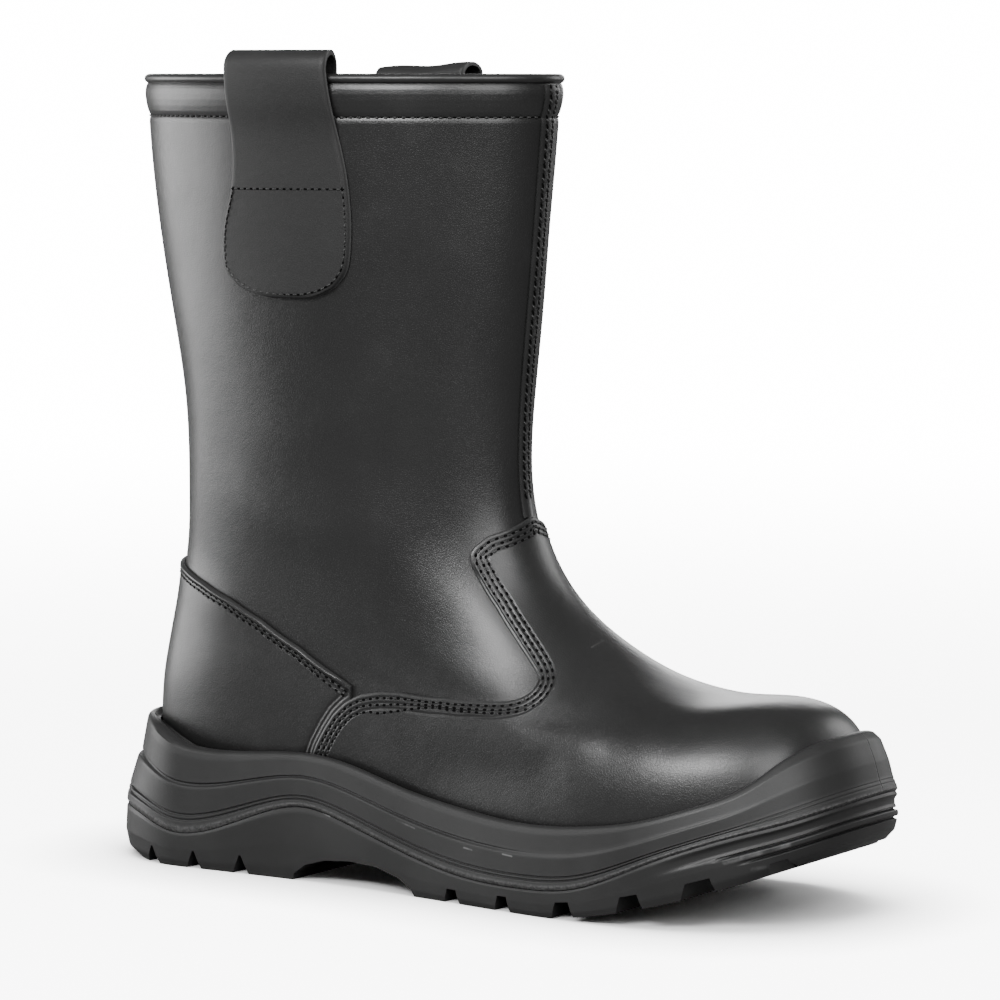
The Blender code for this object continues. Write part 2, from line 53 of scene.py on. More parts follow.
SHIFT = np.array([0.0, (bead_low.y + bead_high.y) / 2 / MM, 0.0])

# The photo's camera: degrees round from the side view, distance, height and pitch.
CAMERA_ROUND = 33.0
CAMERA_AWAY = 1600.0
CAMERA_HEIGHT = 294.0
CAMERA_DROP = 432 / 4450
CAMERA_LENS = 160.2
CAMERA_SHIFT = 0.009

# Millimetres: between layers, the wall, the cup outside the wall.
GAP = 0.3
WALL = 2.2
CUP_CLEAR = 2.45
COLUMNS = 24
FRONT = 12.0
TOP_ROW = 16
FOOT_COLUMNS = ("x", "outer", "inner", "wide", "axis")
FOOT = (
    (-150, 31.5, 31.5, 52, 0.0),
    (-100, 31.5, 31.5, 50, 0.0),
    (-60, 31.5, 30.5, 44, 0.0),
    (-20, 33.5, 31.0, 38, 0.0),
    (20, 40.0, 36.5, 34, 1.0),
    (50, 46.0, 42.5, 32, 2.0),
    (80, 49.0, 44.8, 33, 3.0),
    (110, 46.8, 44.5, 37, 4.5),
    (150, 40.0, 43.0, 46, 6.5),
)
# Height of the foot part along its top.
TOP = (
    (-150, 334), (-60, 264), (0, 190), (14, 145), (20, 121), (34, 101.5),
    (54, 86), (75, 78), (98, 76), (120, 79), (150, 81),
)
# How a ring dips between back and front.
DIP = (
    (0, 0), (0.135, -3.0), (0.28, -1.8), (0.425, -5.4), (0.57, -12.0),
    (0.68, -15.7), (0.77, -15.3), (0.86, -11.3), (0.956, -4.6), (1, 0),
)
RING_COLUMNS = ("back_x", "back_z", "front_x", "front_z", "dip", "leg", "leg_half")
RINGS = (
    (-136.0, 31, 134.5, 32, 1.00, 0.00, 33),
    (-140.5, 40, 141.0, 41, 1.00, 0.00, 33),
    (-142.5, 50, 143.5, 52, 1.00, 0.00, 33),
    (-142.0, 60, 142.0, 63, 1.00, 0.00, 33),
    (-141.0, 69, 135.5, 71.5, 0.95, 0.00, 33),
    (-139.0, 78, 120.0, 74.5, 0.90, 0.05, 33),
    (-137.0, 87, 98.0, 73.0, 0.80, 0.15, 34),
    (-135.0, 97, 75.0, 76.0, 0.60, 0.30, 35),
    (-133.0, 108, 53.5, 86.0, 0.40, 0.50, 36),
    (-131.5, 120, 33.5, 101, 0.20, 0.75, 37),
    (-130.5, 135, 19.5, 121, 0.05, 0.92, 38),
    (-130.0, 154, 14.0, 145, 0.00, 1.00, 40),
    (-131.5, 179, 15.5, 175, 0.00, 1.00, 42),
    (-137.0, 209, 19.0, 207, 0.00, 1.00, 44),
    (-142.5, 239, 22.0, 239, 0.00, 1.00, 46.5),
    (-145.5, 266, 24.5, 266, 0.00, 1.00, 48.5),
    (-146.5, 289, 26.3, 289, 0.00, 1.00, 50),
)
TOE_FROM = 88.0
TOE_END = 151.0
HEEL_FROM = -92.0

SOLE_BACK = -155.0
SOLE_TIP = 155.0
SOLE_HEEL_FROM = -112.0
SOLE_TOE_FROM = 85.0
SPRING_FROM = 52.0
SPRING = 27.0
SOLE_COLUMNS = ("x", "outer", "inner", "rim", "part", "core")
SOLE = (
    (-155, 42.0, 42.0, 53.0, 18.5, 17.0),
    (-130, 42.0, 42.0, 51.0, 17.0, 16.0),
    (-114, 42.0, 42.0, 46.0, 12.8, 12.5),
    (-98, 41.8, 42.0, 44.2, 14.5, 14.0),
    (-74, 41.3, 41.5, 45.5, 23.0, 20.5),
    (-55, 41.3, 41.0, 46.3, 27.0, 23.5),
    (-35, 42.3, 40.8, 43.6, 23.0, 21.5),
    (-15, 44.0, 41.8, 38.5, 17.0, 17.0),
    (15, 48.6, 45.5, 33.6, 10.3, 10.3),
    (45, 54.0, 50.8, 31.4, 9.0, 9.0),
    (70, 57.0, 53.2, 33.0, 11.7, 10.0),
    (97, 57.5, 53.5, 37.8, 22.5, 14.0),
    (115, 56.0, 52.5, 43.5, 29.5, 18.5),
    (130, 55.5, 51.5, 50.0, 34.5, 23.5),
    (143, 55.0, 50.5, 59.0, 38.5, 28.0),
    (155, 55.0, 50.0, 64.5, 43.5, 32.5),
)
CORE_INSET = 7.0
# Sole walls: level, and how far they stand out at the back, the side and the toe.
MIDSOLE_WALL = (
    (0.00, -0.7, -0.5, -0.7),
    (0.04, 0.0, 0.0, 0.0),
    (0.12, -0.4, -0.2, -0.5),
    (0.25, -1.5, -0.5, -1.7),
    (0.52, -4.3, -0.8, -3.2),
    (0.57, -5.9, -1.3, -3.6),
    (0.62, -6.0, -1.5, -4.0),
    (0.88, -7.6, -2.2, -6.3),
    (0.96, -8.2, -2.8, -8.2),
    (1.00, -8.8, -3.4, -9.8),
)
OUTSOLE_WALL = (
    (0.00, -0.6, -0.4, -0.6),
    (0.06, 0.0, 0.0, 0.0),
    (0.50, 0.4, 0.0, 0.3),
    (0.82, -0.8, -0.2, -1.0),
    (1.00, -4.5, -0.8, -4.0),
)
# Grooves all round: level, width, and depth at the back, the side and the toe.
MIDSOLE_GROOVES = (
    (0.145, 0.014, 1.0, 0.45, 0.15),
    (0.205, 0.014, 1.1, 0.50, 0.15),
)
# Grooves along part of the wall only: level, width, depth, and where each starts and ends.
HEEL_GROOVES = ((0.565, 0.020, 0.65, 55.0, 5.0),)
TOE_GROOVES = (
    (0.21, 0.12, 1.1, 98.0, 122.0),
    (0.36, 0.03, 1.6, 119.0, 127.0),
    (0.55, 0.035, 1.4, 127.5, 134.5),
)
# The arch under the sole, in the side view.
ARCH = (
    (-61, -4), (-59, 2.5), (-54, 6.0), (-45, 8.6), (-33, 9.6),
    (-21, 8.8), (-11, 6.0), (-5, 2.5), (-2, -4),
)
# Notches between lugs: middle, width at the foot and at the head, depth.
NOTCHES = (
    (-124, 7.0, 0.8, 6.5),
    (-104, 6.5, 0.8, 6.5),
    (-83, 7.0, 0.8, 6.8),
    (14, 7.0, 4.0, 5.0),
    (37.5, 7.0, 4.0, 5.5),
    (64, 9.0, 5.5, 5.5),
    (91, 10.0, 6.5, 5.5),
    (115, 11.5, 8.0, 5.5),
    (139, 7.0, 4.5, 4.5),
)
NOTCH_FROM = 17.0
CENTRE_NOTCHES = (
    (-114, 6.0, 3.0, 5.0),
    (-93.5, 6.0, 3.0, 5.0),
    (-73, 6.0, 3.0, 5.0),
    (2, 6.0, 3.0, 4.5),
    (26, 6.0, 3.0, 4.5),
    (50.5, 6.0, 3.0, 4.5),
    (77, 6.0, 3.0, 4.5),
    (103, 6.0, 3.0, 4.5),
)
CENTRE_HALF = 12.0

# Panel edges in the side view.
WING = (
    (-59, 38), (-54.5, 49), (-50.5, 55.5), (-46.5, 61), (-41, 65.8), (-34.5, 69),
)
VAMP_TOP = (
    (-25, 70.9), (-16, 71.4), (3, 71.0), (17.5, 71.0), (29, 71.3), (34.6, 72.6),
    (38.2, 75.3), (38.6, 78.9), (36.5, 81.8), (31.6, 86.6), (25.3, 93.0), (17.3, 102.2),
    (10.6, 110.8), (6.4, 117.4), (5.4, 120.6), (6.2, 123.4), (9.5, 127.6),
)
VAMP_CENTRE_Z = 133.6
COUNTER_TOP = (
    (-127, 110), (-119, 107.6), (-108.5, 104.6), (-94.4, 99.8),
    (-79.6, 93.2), (-61.5, 83.9), (-48.5, 76.6),
)
COUNTER_CENTRE_Z = 112.0
# How far the counter's wing reaches under the vamp's.
WING_TUCK = 0.8
HIDDEN_ROW = 0.5
STRIP = 2.2


def smooth(rows, column=1):
    """Natural cubic spline of one column over the first, straight beyond its ends."""
    table = np.asarray(rows, float)
    xs = table[:, 0]
    ys = table[:, column]
    gap = np.diff(xs)
    count = len(xs)
    system = np.eye(count)
    right = np.zeros(count)
    for i in range(1, count - 1):
        system[i, i - 1:i + 2] = gap[i - 1], 2 * (gap[i - 1] + gap[i]), gap[i]
        right[i] = 6 * ((ys[i + 1] - ys[i]) / gap[i] - (ys[i] - ys[i - 1]) / gap[i - 1])
    bend = np.linalg.solve(system, right)

    def at(x):
        x = np.asarray(x, float)
        i = np.clip(np.searchsorted(xs, x) - 1, 0, count - 2)
        inside = np.clip(x, xs[0], xs[-1])
        before = inside - xs[i]
        after = xs[i + 1] - inside
        value = (bend[i] * after**3 + bend[i + 1] * before**3) / (6 * gap[i])
        value += (ys[i] / gap[i] - bend[i] * gap[i] / 6) * after
        value += (ys[i + 1] / gap[i] - bend[i + 1] * gap[i] / 6) * before
        slope = (ys[i + 1] - ys[i]) / gap[i]
        slope += np.where(x < xs[0], -gap[i] * bend[i + 1] / 6, gap[i] * bend[i] / 6)
        return value + (x - inside) * slope
    return at


def straight(rows, column=1):
    """Straight runs through one column over the first."""
    table = np.asarray(rows, float)
    return lambda x: np.interp(x, table[:, 0], table[:, column])


def ease(start, end, x):
    """0 at start, 1 at end, with a soft run between them."""
    u = np.clip((np.asarray(x, float) - start) / (end - start), 0, 1)
    return u * u * (3 - 2 * u)


def unit(vectors):
    """The vectors with length 1."""
    return vectors / np.linalg.norm(vectors, axis=-1, keepdims=True)


foot = {name: smooth(FOOT, k) for k, name in enumerate(FOOT_COLUMNS) if k}
sole = {name: smooth(SOLE, k) for k, name in enumerate(SOLE_COLUMNS) if k}
top_height = smooth(TOP)
dip_height = smooth(DIP)


def foot_half(x, z, back_x, side):
    """Half width of the foot part at a point of the side view."""
    wide = foot["wide"](x)
    rise = np.clip((z - wide) / np.maximum(top_height(x) - wide, 1), 0, 1)
    toe = np.clip((x - TOE_FROM) / (TOE_END - TOE_FROM), 0, 1)
    heel = np.clip((HEEL_FROM - x) / (HEEL_FROM - back_x), 0, 1)
    tuck = 6.0 * np.clip((wide - z) / 18.0, 0, 1.3)**2
    full = np.clip(1 - rise**2.4 - toe**2.5, 0, 1)**(1 / 2.4)
    return (foot[side](x) - tuck) * full * (1 - heel**2.3)**(1 / 2.3)


def cage_ring(row):
    """One ring of the cage, from the back along the outer side to the front and home."""
    size = dict(zip(RING_COLUMNS, row))
    half = COLUMNS // 2
    along = (1 - np.cos(np.pi * np.arange(half + 1) / half)) / 2
    x = size["back_x"] + (size["front_x"] - size["back_x"]) * along
    z = size["back_z"] + (size["front_z"] - size["back_z"]) * along
    z = z + size["dip"] * dip_height(along)
    centre = foot["axis"](x) * (1 - size["leg"])
    power = np.where(along < 0.5, 2.1, 1.9)
    leg_half = size["leg_half"] * (1 - np.abs(2 * along - 1)**power)**(1 / power)
    sides = []
    for side, sign in (("outer", -1), ("inner", 1)):
        y = (1 - size["leg"]) * foot_half(x, z, size["back_x"], side) + size["leg"] * leg_half
        y[0] = 0
        y[-1] = 0
        sides.append(np.stack([x, centre + sign * y, z], 1))
    return np.concatenate([sides[0], sides[1][-2:0:-1]])


CAGE = np.array([cage_ring(row) for row in RINGS])
GRID = np.concatenate([[2 * CAGE[0] - CAGE[1]], CAGE, [2 * CAGE[-1] - CAGE[-2]]])


def weights(f):
    """Uniform cubic spline weights of four neighbours."""
    middle = 1 + 3 * f + 3 * f**2 - 3 * f**3
    return np.stack([(1 - f)**3, 3 * f**3 - 6 * f**2 + 4, middle, f**3]) / 6


def slopes(f):
    """Derivatives of the spline weights."""
    return np.stack([-(1 - f)**2, 3 * f**2 - 4 * f, 1 + 2 * f - 3 * f**2, f**2]) / 2


def skin(row, column):
    """Points of the boot's outer surface with their run up, run round and outward normal."""
    row, column = np.broadcast_arrays(np.asarray(row, float), column)
    i = np.clip(np.floor(row).astype(int), 0, len(RINGS) - 2)
    j = np.floor(column).astype(int)
    w_row, s_row = weights(row - i), slopes(row - i)
    w_col, s_col = weights(column - j), slopes(column - j)
    point = np.zeros(row.shape + (3,))
    up = point.copy()
    turn = point.copy()
    for a in range(4):
        for b in range(4):
            knot = GRID[i + a, (j + b - 1) % COLUMNS]
            point += (w_row[a] * w_col[b])[..., None] * knot
            up += (s_row[a] * w_col[b])[..., None] * knot
            turn += (w_row[a] * s_col[b])[..., None] * knot
    return point, up, turn, unit(np.cross(turn, up))


def surface(row, column, out=0.0):
    """Points at a distance out from the boot's outer surface."""
    point, _, _, normal = skin(row, column)
    return point + np.broadcast_to(out, point.shape[:-1])[..., None] * normal


def locate(x, z):
    """Row and column on the outer side of points given in the side view."""
    rows = np.linspace(0, TOP_ROW, 161)[:, None]
    columns = np.linspace(0.05, 11.95, 120)
    seen = surface(rows, np.broadcast_to(columns, (161, 120)))[..., [0, 2]].reshape(-1, 2)
    target = np.stack([x, z], -1).astype(float)
    first = np.array([np.argmin(((seen - spot)**2).sum(1)) for spot in target])
    row = rows[first // 120, 0]
    column = columns[first % 120]
    for _ in range(12):
        point, up, turn, _ = skin(row, column)
        miss = target - point[:, [0, 2]]
        a, b = up[:, 0], turn[:, 0]
        c, d = up[:, 2], turn[:, 2]
        det = a * d - b * c
        det = np.where(np.abs(det) < 1e-6, 1e-6, det)
        row = np.clip(row + 0.8 * (d * miss[:, 0] - b * miss[:, 1]) / det, 0, TOP_ROW)
        column = np.clip(column + 0.8 * (a * miss[:, 1] - c * miss[:, 0]) / det, 0.02, 11.98)
    return np.stack([row, column], -1)


def row_at(z, column):
    """Row where the surface has a height, on one column."""
    rows = np.linspace(0, TOP_ROW, 1601)
    return float(np.interp(z, surface(rows, column)[:, 2], rows))


def resample(line, step, closed=False):
    """Points of a line in rows and columns, evenly spaced in millimetres on the surface."""
    if closed:
        line = np.vstack([line, line[:1]])
    fine = [np.linspace(a, b, 24, endpoint=False) for a, b in zip(line[:-1], line[1:])]
    fine = np.concatenate(fine + [line[-1:]])
    spots = surface(fine[:, 0], fine[:, 1])
    run = np.concatenate([[0], np.cumsum(np.linalg.norm(np.diff(spots, axis=0), axis=1))])
    count = max(int(round(run[-1] / step)), 2)
    at = np.linspace(0, run[-1], count + 1)
    even = np.stack([np.interp(at, run, fine[:, k]) for k in (0, 1)], -1)
    return even[:-1] if closed else even


def soften(line, reach, closed=False):
    """The line with its corners rounded by a moving mean of reach points each way."""
    kernel = np.hanning(2 * reach + 3)[1:-1]
    kernel /= kernel.sum()
    if closed:
        padded = np.vstack([line[-reach:], line, line[:reach]])
    else:
        first = 2 * line[0] - line[1:reach + 1][::-1]
        last = 2 * line[-1] - line[-reach - 1:-1][::-1]
        padded = np.vstack([first, line, last])
    return np.stack([np.convolve(padded[:, k], kernel, "valid") for k in (0, 1)], -1)


def moved_in(line, distance):
    """A line of rows and columns moved to its left along the surface."""
    point, up, turn, normal = skin(line[:, 0], line[:, 1])
    ahead = np.roll(point, -1, 0) - np.roll(point, 1, 0)
    ahead[0] = point[1] - point[0]
    ahead[-1] = point[-1] - point[-2]
    step = np.cross(normal, unit(ahead)) * distance
    uu, tt, ut = (up * up).sum(1), (turn * turn).sum(1), (up * turn).sum(1)
    su, st = (step * up).sum(1), (step * turn).sum(1)
    det = uu * tt - ut * ut
    return line + np.stack([(su * tt - st * ut) / det, (st * uu - su * ut) / det], -1)


def nearest(line_points, points):
    """Distance and index of the nearest of some points."""
    tree = KDTree(len(line_points))
    for k, point in enumerate(line_points):
        tree.insert(point, k)
    tree.balance()
    found = [tree.find(point)[1:] for point in points]
    return np.array([f[1] for f in found]), np.array([f[0] for f in found])


def inside_loop(points, loop):
    """Whether points of the plane lie inside a closed loop."""
    x, y = points[:, 0], points[:, 1]
    inside = np.zeros(len(points), bool)
    for (x0, y0), (x1, y1) in zip(loop, np.roll(loop, -1, 0)):
        crosses = (y0 > y) != (y1 > y)
        if crosses.any():
            at = (x1 - x0) * (y[crosses] - y0) / (y1 - y0) + x0
            inside[crosses] ^= x[crosses] < at
    return inside


def add_piece(name, points, faces, *nodes, slot=None, look=None, sharp=35.0, values=None):
    """One named mesh that rides on the boot and stands for CAD nodes."""
    mesh = bpy.data.meshes.new(name)
    points = (np.asarray(points, float).reshape(-1, 3) + SHIFT) * MM
    mesh.from_pydata(points.tolist(), [], [list(map(int, face)) for face in faces])
    mesh.validate()
    piece = bpy.data.objects.new(name, mesh)
    bpy.context.scene.collection.objects.link(piece)
    for key, data in (values or {}).items():
        layer = mesh.attributes.new(key, "FLOAT", "POINT")
        layer.data.foreach_set("value", np.asarray(data, np.float32).ravel())
    mesh.shade_smooth()
    mesh.set_sharp_from_angle(angle=np.radians(sharp))
    mesh.materials.append(look)
    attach(piece, BODY)
    if nodes:
        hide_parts(*nodes)
    return piece


def turn_out(mesh):
    """Makes all faces look outward."""
    work = bmesh.new()
    work.from_mesh(mesh)
    bmesh.ops.recalc_face_normals(work, faces=work.faces)
    work.to_mesh(mesh)
    work.free()


def ring_faces(rings, count, close=False, flip=False):
    """Quads between stacked rings of count points."""
    faces = []
    for k in range(rings if close else rings - 1):
        low = k * count
        high = (k + 1) % rings * count
        for j in range(count):
            n = (j + 1) % count
            quad = (low + j, low + n, high + n, high + j)
            faces.append(quad[::-1] if flip else quad)
    return faces


def grid_faces(rows, cols, start=0, flip=False):
    """Quads of a grid of points."""
    faces = []
    for i in range(rows - 1):
        for j in range(cols - 1):
            a = start + i * cols + j
            quad = (a, a + 1, a + cols + 1, a + cols)
            faces.append(quad[::-1] if flip else quad)
    return faces


def cap_faces(start, count, flip=False):
    """Quads across a ring of count points, from one of its ends to the other."""
    faces = []
    for k in range(count // 2):
        corners = dict.fromkeys((k, k + 1, count - k - 1, (count - k) % count))
        if len(corners) > 2:
            face = [start + v for v in corners]
            faces.append(face[::-1] if flip else face)
    return faces


def border_faces(rows, cols, flip=False):
    """Quads round the edge of two grids, the second right after the first."""
    edge = list(range(cols))
    edge += [i * cols + cols - 1 for i in range(1, rows)]
    edge += [(rows - 1) * cols + j for j in range(cols - 2, -1, -1)]
    edge += [i * cols for i in range(rows - 2, 0, -1)]
    other = rows * cols
    faces = []
    for a, b in zip(edge, edge[1:] + edge[:1]):
        faces.append([a, b, b + other, a + other] if flip else [a, a + other, b + other, b])
    return faces


class Nodes:
    """Short calls for building a material's nodes."""

    def __init__(self, name):
        self.material = bpy.data.materials.new(name)
        self.material.use_nodes = True
        self.tree = self.material.node_tree
        self.shader = self.tree.nodes["Principled BSDF"]
        self.place = self.add("ShaderNodeTexCoord").outputs["Object"]

    def add(self, kind, inputs=None, **settings):
        node = self.tree.nodes.new(kind)
        for key, value in settings.items():
            setattr(node, key, value)
        for key, value in (inputs or {}).items():
            self.put(node.inputs[key], value)
        return node

    def put(self, socket, value):
        if isinstance(value, bpy.types.NodeSocket):
            self.tree.links.new(value, socket)
        else:
            socket.default_value = value

    def math(self, operation, a, b=0.0):
        return self.add("ShaderNodeMath", {0: a, 1: b}, operation=operation).outputs[0]

    def times(self, a, b):
        return self.math("MULTIPLY", a, b)

    def plus(self, a, b):
        return self.math("ADD", a, b)

    def vector(self, operation, inputs, output=0):
        return self.add("ShaderNodeVectorMath", inputs, operation=operation).outputs[output]

    def colour(self, value):
        self.put(self.shader.inputs["Base Color"], value)

    def dull(self, value):
        self.put(self.shader.inputs["Roughness"], value)

    def normal(self, value):
        self.put(self.shader.inputs["Normal"], value)

    def attribute(self, name):
        return self.add("ShaderNodeAttribute", attribute_name=name).outputs["Fac"]

    def noise(self, scale, detail=2.0, rough=0.5):
        made = self.add("ShaderNodeTexNoise", {"Vector": self.place, "Scale": scale,
                                               "Detail": detail, "Roughness": rough})
        return made.outputs["Fac"]

    def wave(self, scale, distortion):
        made = self.add("ShaderNodeTexWave", {"Vector": self.place, "Scale": scale,
                                              "Distortion": distortion})
        return made.outputs["Fac"]

    def cells(self, scale, **settings):
        made = self.add("ShaderNodeTexVoronoi", {"Vector": self.place, "Scale": scale}, **settings)
        return made.outputs["Distance"]

    def spread(self, value, low, high, to_low=0.0, to_high=1.0):
        made = self.add("ShaderNodeMapRange", {"Value": value, "From Min": low, "From Max": high,
                                               "To Min": to_low, "To Max": to_high},
                        interpolation_type="SMOOTHSTEP")
        return made.outputs["Result"]

    def band(self, value, middle, half):
        """1 at middle, 0 from half away on."""
        off = self.math("ABSOLUTE", self.math("SUBTRACT", value, middle))
        return self.spread(off, 0.0, half, 1.0, 0.0)

    def near_line(self, start, end, half):
        """1 on a straight line between two points, given in millimetres, 0 from half away on."""
        first, last = (Vector((np.array(spot, float) + SHIFT) * MM) for spot in (start, end))
        ahead = (last - first).normalized()
        away = self.vector("SUBTRACT", {0: self.place, 1: first})
        run = self.vector("DOT_PRODUCT", {0: away, 1: ahead}, "Value")
        run = self.math("MINIMUM", self.math("MAXIMUM", run), (last - first).length)
        foot_spot = self.vector("SCALE", {0: ahead, "Scale": run})
        off = self.vector("DISTANCE", {0: away, 1: foot_spot}, "Value")
        return self.spread(off, 0.0, half * MM, 1.0, 0.0)

    def blend(self, share, first, second):
        made = self.add("ShaderNodeMix", {"Factor": share}, data_type="RGBA")
        self.put(made.inputs[6], first)
        self.put(made.inputs[7], second)
        return made.outputs[2]

    def bump(self, height, distance, strength=1.0, below=None):
        inputs = {"Height": height, "Distance": distance, "Strength": strength}
        if below:
            inputs["Normal"] = below
        return self.add("ShaderNodeBump", inputs).outputs["Normal"]


def grey(value):
    """A neutral colour."""
    return (value, value, value, 1.0)


def leather(name, shade=0.009, rough=0.37, grain=1.0, coat=0.2, stitch_rows=(), scratches=(),
            raw=1.1):
    """Smooth black leather with a fine grain, soft mottling and troughs along stitch rows."""
    n = Nodes(name)
    cells = n.cells(1150.0, feature="DISTANCE_TO_EDGE")
    pores = n.noise(2600.0, 2.0, 0.6)
    hide = n.noise(55.0, 3.0, 0.55)
    broad = n.noise(14.0, 2.0, 0.5)
    colour = n.blend(n.spread(broad, 0.35, 0.7), grey(shade * 0.86), grey(shade * 1.12))
    colour = n.blend(n.times(n.spread(hide, 0.58, 0.74), 0.35), colour, grey(shade * 1.7))
    dull = n.plus(n.plus(n.times(hide, 0.10), n.times(pores, 0.08)), rough - 0.09)
    height = n.plus(n.times(n.spread(cells, 0.0, 0.16), 0.6), n.times(pores, 0.5))
    normal = n.bump(height, 0.00006 * grain, 0.55)
    normal = n.bump(n.noise(420.0, 3.0, 0.6), 0.00014 * grain, 0.3, normal)
    normal = n.bump(hide, 0.0006, 0.35, normal)
    for start, end in scratches:
        line = n.times(n.near_line(start, end, 0.5), n.spread(hide, 0.3, 0.6, 0.15, 0.6))
        colour = n.blend(line, colour, grey(0.05))
    if raw:
        edge = n.attribute("edge")
        cut = n.times(n.spread(edge, 0.45, 0.05), n.plus(n.times(pores, 0.5), 0.5))
        colour = n.blend(cut, colour, grey(shade * raw))
        dull = n.plus(dull, n.times(n.spread(edge, 0.6, 0.1), 0.4))
    if stitch_rows:
        total = n.band(edge, stitch_rows[0], 0.95)
        for at in stitch_rows[1:]:
            total = n.math("MAXIMUM", total, n.band(edge, at, 0.95))
        normal = n.bump(n.times(total, -1.0), 0.0004, 0.6, normal)
    n.colour(colour)
    n.dull(dull)
    n.normal(normal)
    n.shader.inputs["Coat Weight"].default_value = coat
    n.shader.inputs["Coat Roughness"].default_value = 0.26
    return n.material


def rubber(name, shade=0.011, rough=0.5, flash=False):
    """Moulded polyurethane: satin, finely speckled, with pale scuffs and painted highlights on the
    toe's ridges.
    """
    n = Nodes(name)
    fine = n.noise(1500.0, 2.0, 0.6)
    cloud = n.noise(38.0, 3.0, 0.6)
    pits = n.spread(n.cells(420.0), 0.04, 0.14)
    colour = n.blend(n.spread(cloud, 0.35, 0.7), grey(shade * 0.88), grey(shade * 1.15))
    n.dull(n.plus(n.plus(n.times(cloud, 0.16), n.times(fine, 0.08)), rough - 0.12))
    normal = n.bump(n.plus(n.times(fine, 0.6), n.times(pits, 0.4)), 0.00006, 0.5)
    normal = n.bump(cloud, 0.0005, 0.25, normal)
    scuff_and_highlight_breakup = n.spread(n.noise(170.0, 3.0, 0.65), 0.30, 0.58)
    # Pale scuffs, and painted highlights on the toe's ridges, both broken up by noise.
    for marks, half, pale in ((SCUFFS, 0.5, 0.11), (PAINTED_RIB_HIGHLIGHTS, 1.2, 0.075)):
        for start, end in marks:
            colour = n.blend(n.times(n.near_line(start, end, half), scuff_and_highlight_breakup), colour, grey(pale))
    if flash:
        crumbs = n.spread(n.noise(900.0, 3.0, 0.7), 0.38, 0.62, 0.25, 1.0)
        rag = n.times(n.spread(n.attribute("level"), 0.10, 0.04), crumbs)
        colour = n.blend(rag, colour, grey(0.055))
        normal = n.bump(rag, 0.0002, 0.5, normal)
        along, across, up = n.add("ShaderNodeSeparateXYZ", {0: n.place}).outputs
        front, low, high = (value * MM for value in PARTING_FROM)
        line = n.band(across, (PARTING_Y + SHIFT[1]) * MM, 0.45 * MM)
        line = n.times(line, n.spread(along, front, front + MM))
        line = n.times(line, n.spread(up, low, low + MM))
        line = n.times(line, n.spread(up, high, high - MM))
        # Painted shade: the parting line's groove is coloured near-black.
        colour = n.blend(line, colour, grey(0.003))
        normal = n.bump(n.times(line, -1.0), 0.0008, 1.0, normal)
    n.colour(colour)
    n.normal(normal)
    return n.material


def thread_look(name, shade):
    """Twisted sewing thread."""
    n = Nodes(name)
    twist = n.wave(900.0, 1.5)
    n.colour(n.blend(twist, grey(shade * 0.8), grey(shade * 1.3)))
    n.dull(0.5)
    n.normal(n.bump(twist, 0.00008, 0.6))
    return n.material


def hole_shade_look(name, shade=0.002):
    """Painted shade of a needle hole's inside: near-black and matt, with a little lint."""
    n = Nodes(name)
    lint = n.noise(1800.0, 2.0, 0.6)
    n.colour(n.blend(lint, grey(shade * 0.6), grey(shade * 1.6)))
    n.dull(1.0)
    n.shader.inputs["Specular IOR Level"].default_value = 0.05
    n.normal(n.bump(lint, 0.0001, 0.5))
    return n.material


def textile(name, shade=0.03):
    """Matt woven lining with a short nap."""
    n = Nodes(name)
    nap = n.noise(700.0, 4.0, 0.7)
    n.colour(n.blend(nap, grey(shade * 0.7), grey(shade * 1.3)))
    n.dull(0.92)
    n.shader.inputs["Sheen Weight"].default_value = 0.3
    n.normal(n.bump(n.plus(nap, n.times(n.wave(500.0, 2.0), 0.5)), 0.0003, 0.7))
    return n.material


# Creases: side (1 outer, -1 inner), depth, half width and the line in the side view.
CREASES = (
    (1, 0.35, 8.0, ((36, 74), (45, 64), (51, 54), (53, 45))),
    (1, 0.30, 9.0, ((58, 78), (68, 67), (74, 56), (76, 46))),
    (1, -0.15, 8.0, ((48, 74), (57, 64), (63, 54), (65, 45))),
    (1, 0.18, 8.0, ((88, 76), (95, 68), (95, 58), (91, 49))),
    (1, 0.9, 9.0, ((-6, 49), (18, 46.5), (40, 46), (62, 46))),
    (1, 0.30, 9.0, ((-86, 124), (-70, 116), (-52, 112), (-34, 114))),
    (1, -0.28, 9.0, ((-92, 140), (-72, 133), (-50, 129), (-30, 132))),
    (1, 0.35, 9.0, ((-8, 158), (-26, 148), (-46, 144), (-66, 148))),
    (1, 0.25, 12.0, ((-20, 198), (-44, 188), (-70, 190))),
    (-1, 0.40, 8.0, ((34, 73), (44, 64), (50, 55), (54, 46))),
    (-1, 0.20, 9.0, ((60, 77), (70, 66), (76, 56), (78, 47))),
    (-1, -0.12, 8.0, ((48, 74), (58, 63), (64, 53))),
    (-1, 0.32, 9.0, ((-84, 122), (-66, 114), (-50, 111), (-32, 115))),
    (-1, 0.35, 9.0, ((-6, 160), (-28, 149), (-48, 146), (-70, 150))),
)
# The pinch over the foot where the toe cap begins: place, depth at the top, half width.
PINCH_X = 95.0
PINCH_DEEP = 1.0
PINCH_HALF = 17.0
CREASE_REACH = 3.0
WAVES = 0.22


def crease_lines():
    """Each crease as dense points on the surface with its depth, width and place."""
    made = []
    for side, depth, half, line in CREASES:
        x, z = np.array(line, float).T
        where = soften(resample(locate(x, z), 1.5), 3)
        if side < 0:
            where[:, 1] = COLUMNS - where[:, 1]
        run = np.linspace(0, 1, len(where))
        strength = depth * np.sin(np.pi * np.clip(run, 0.02, 0.98))**0.6
        made.append((strength, half, where, surface(where[:, 0], where[:, 1])))
    return made


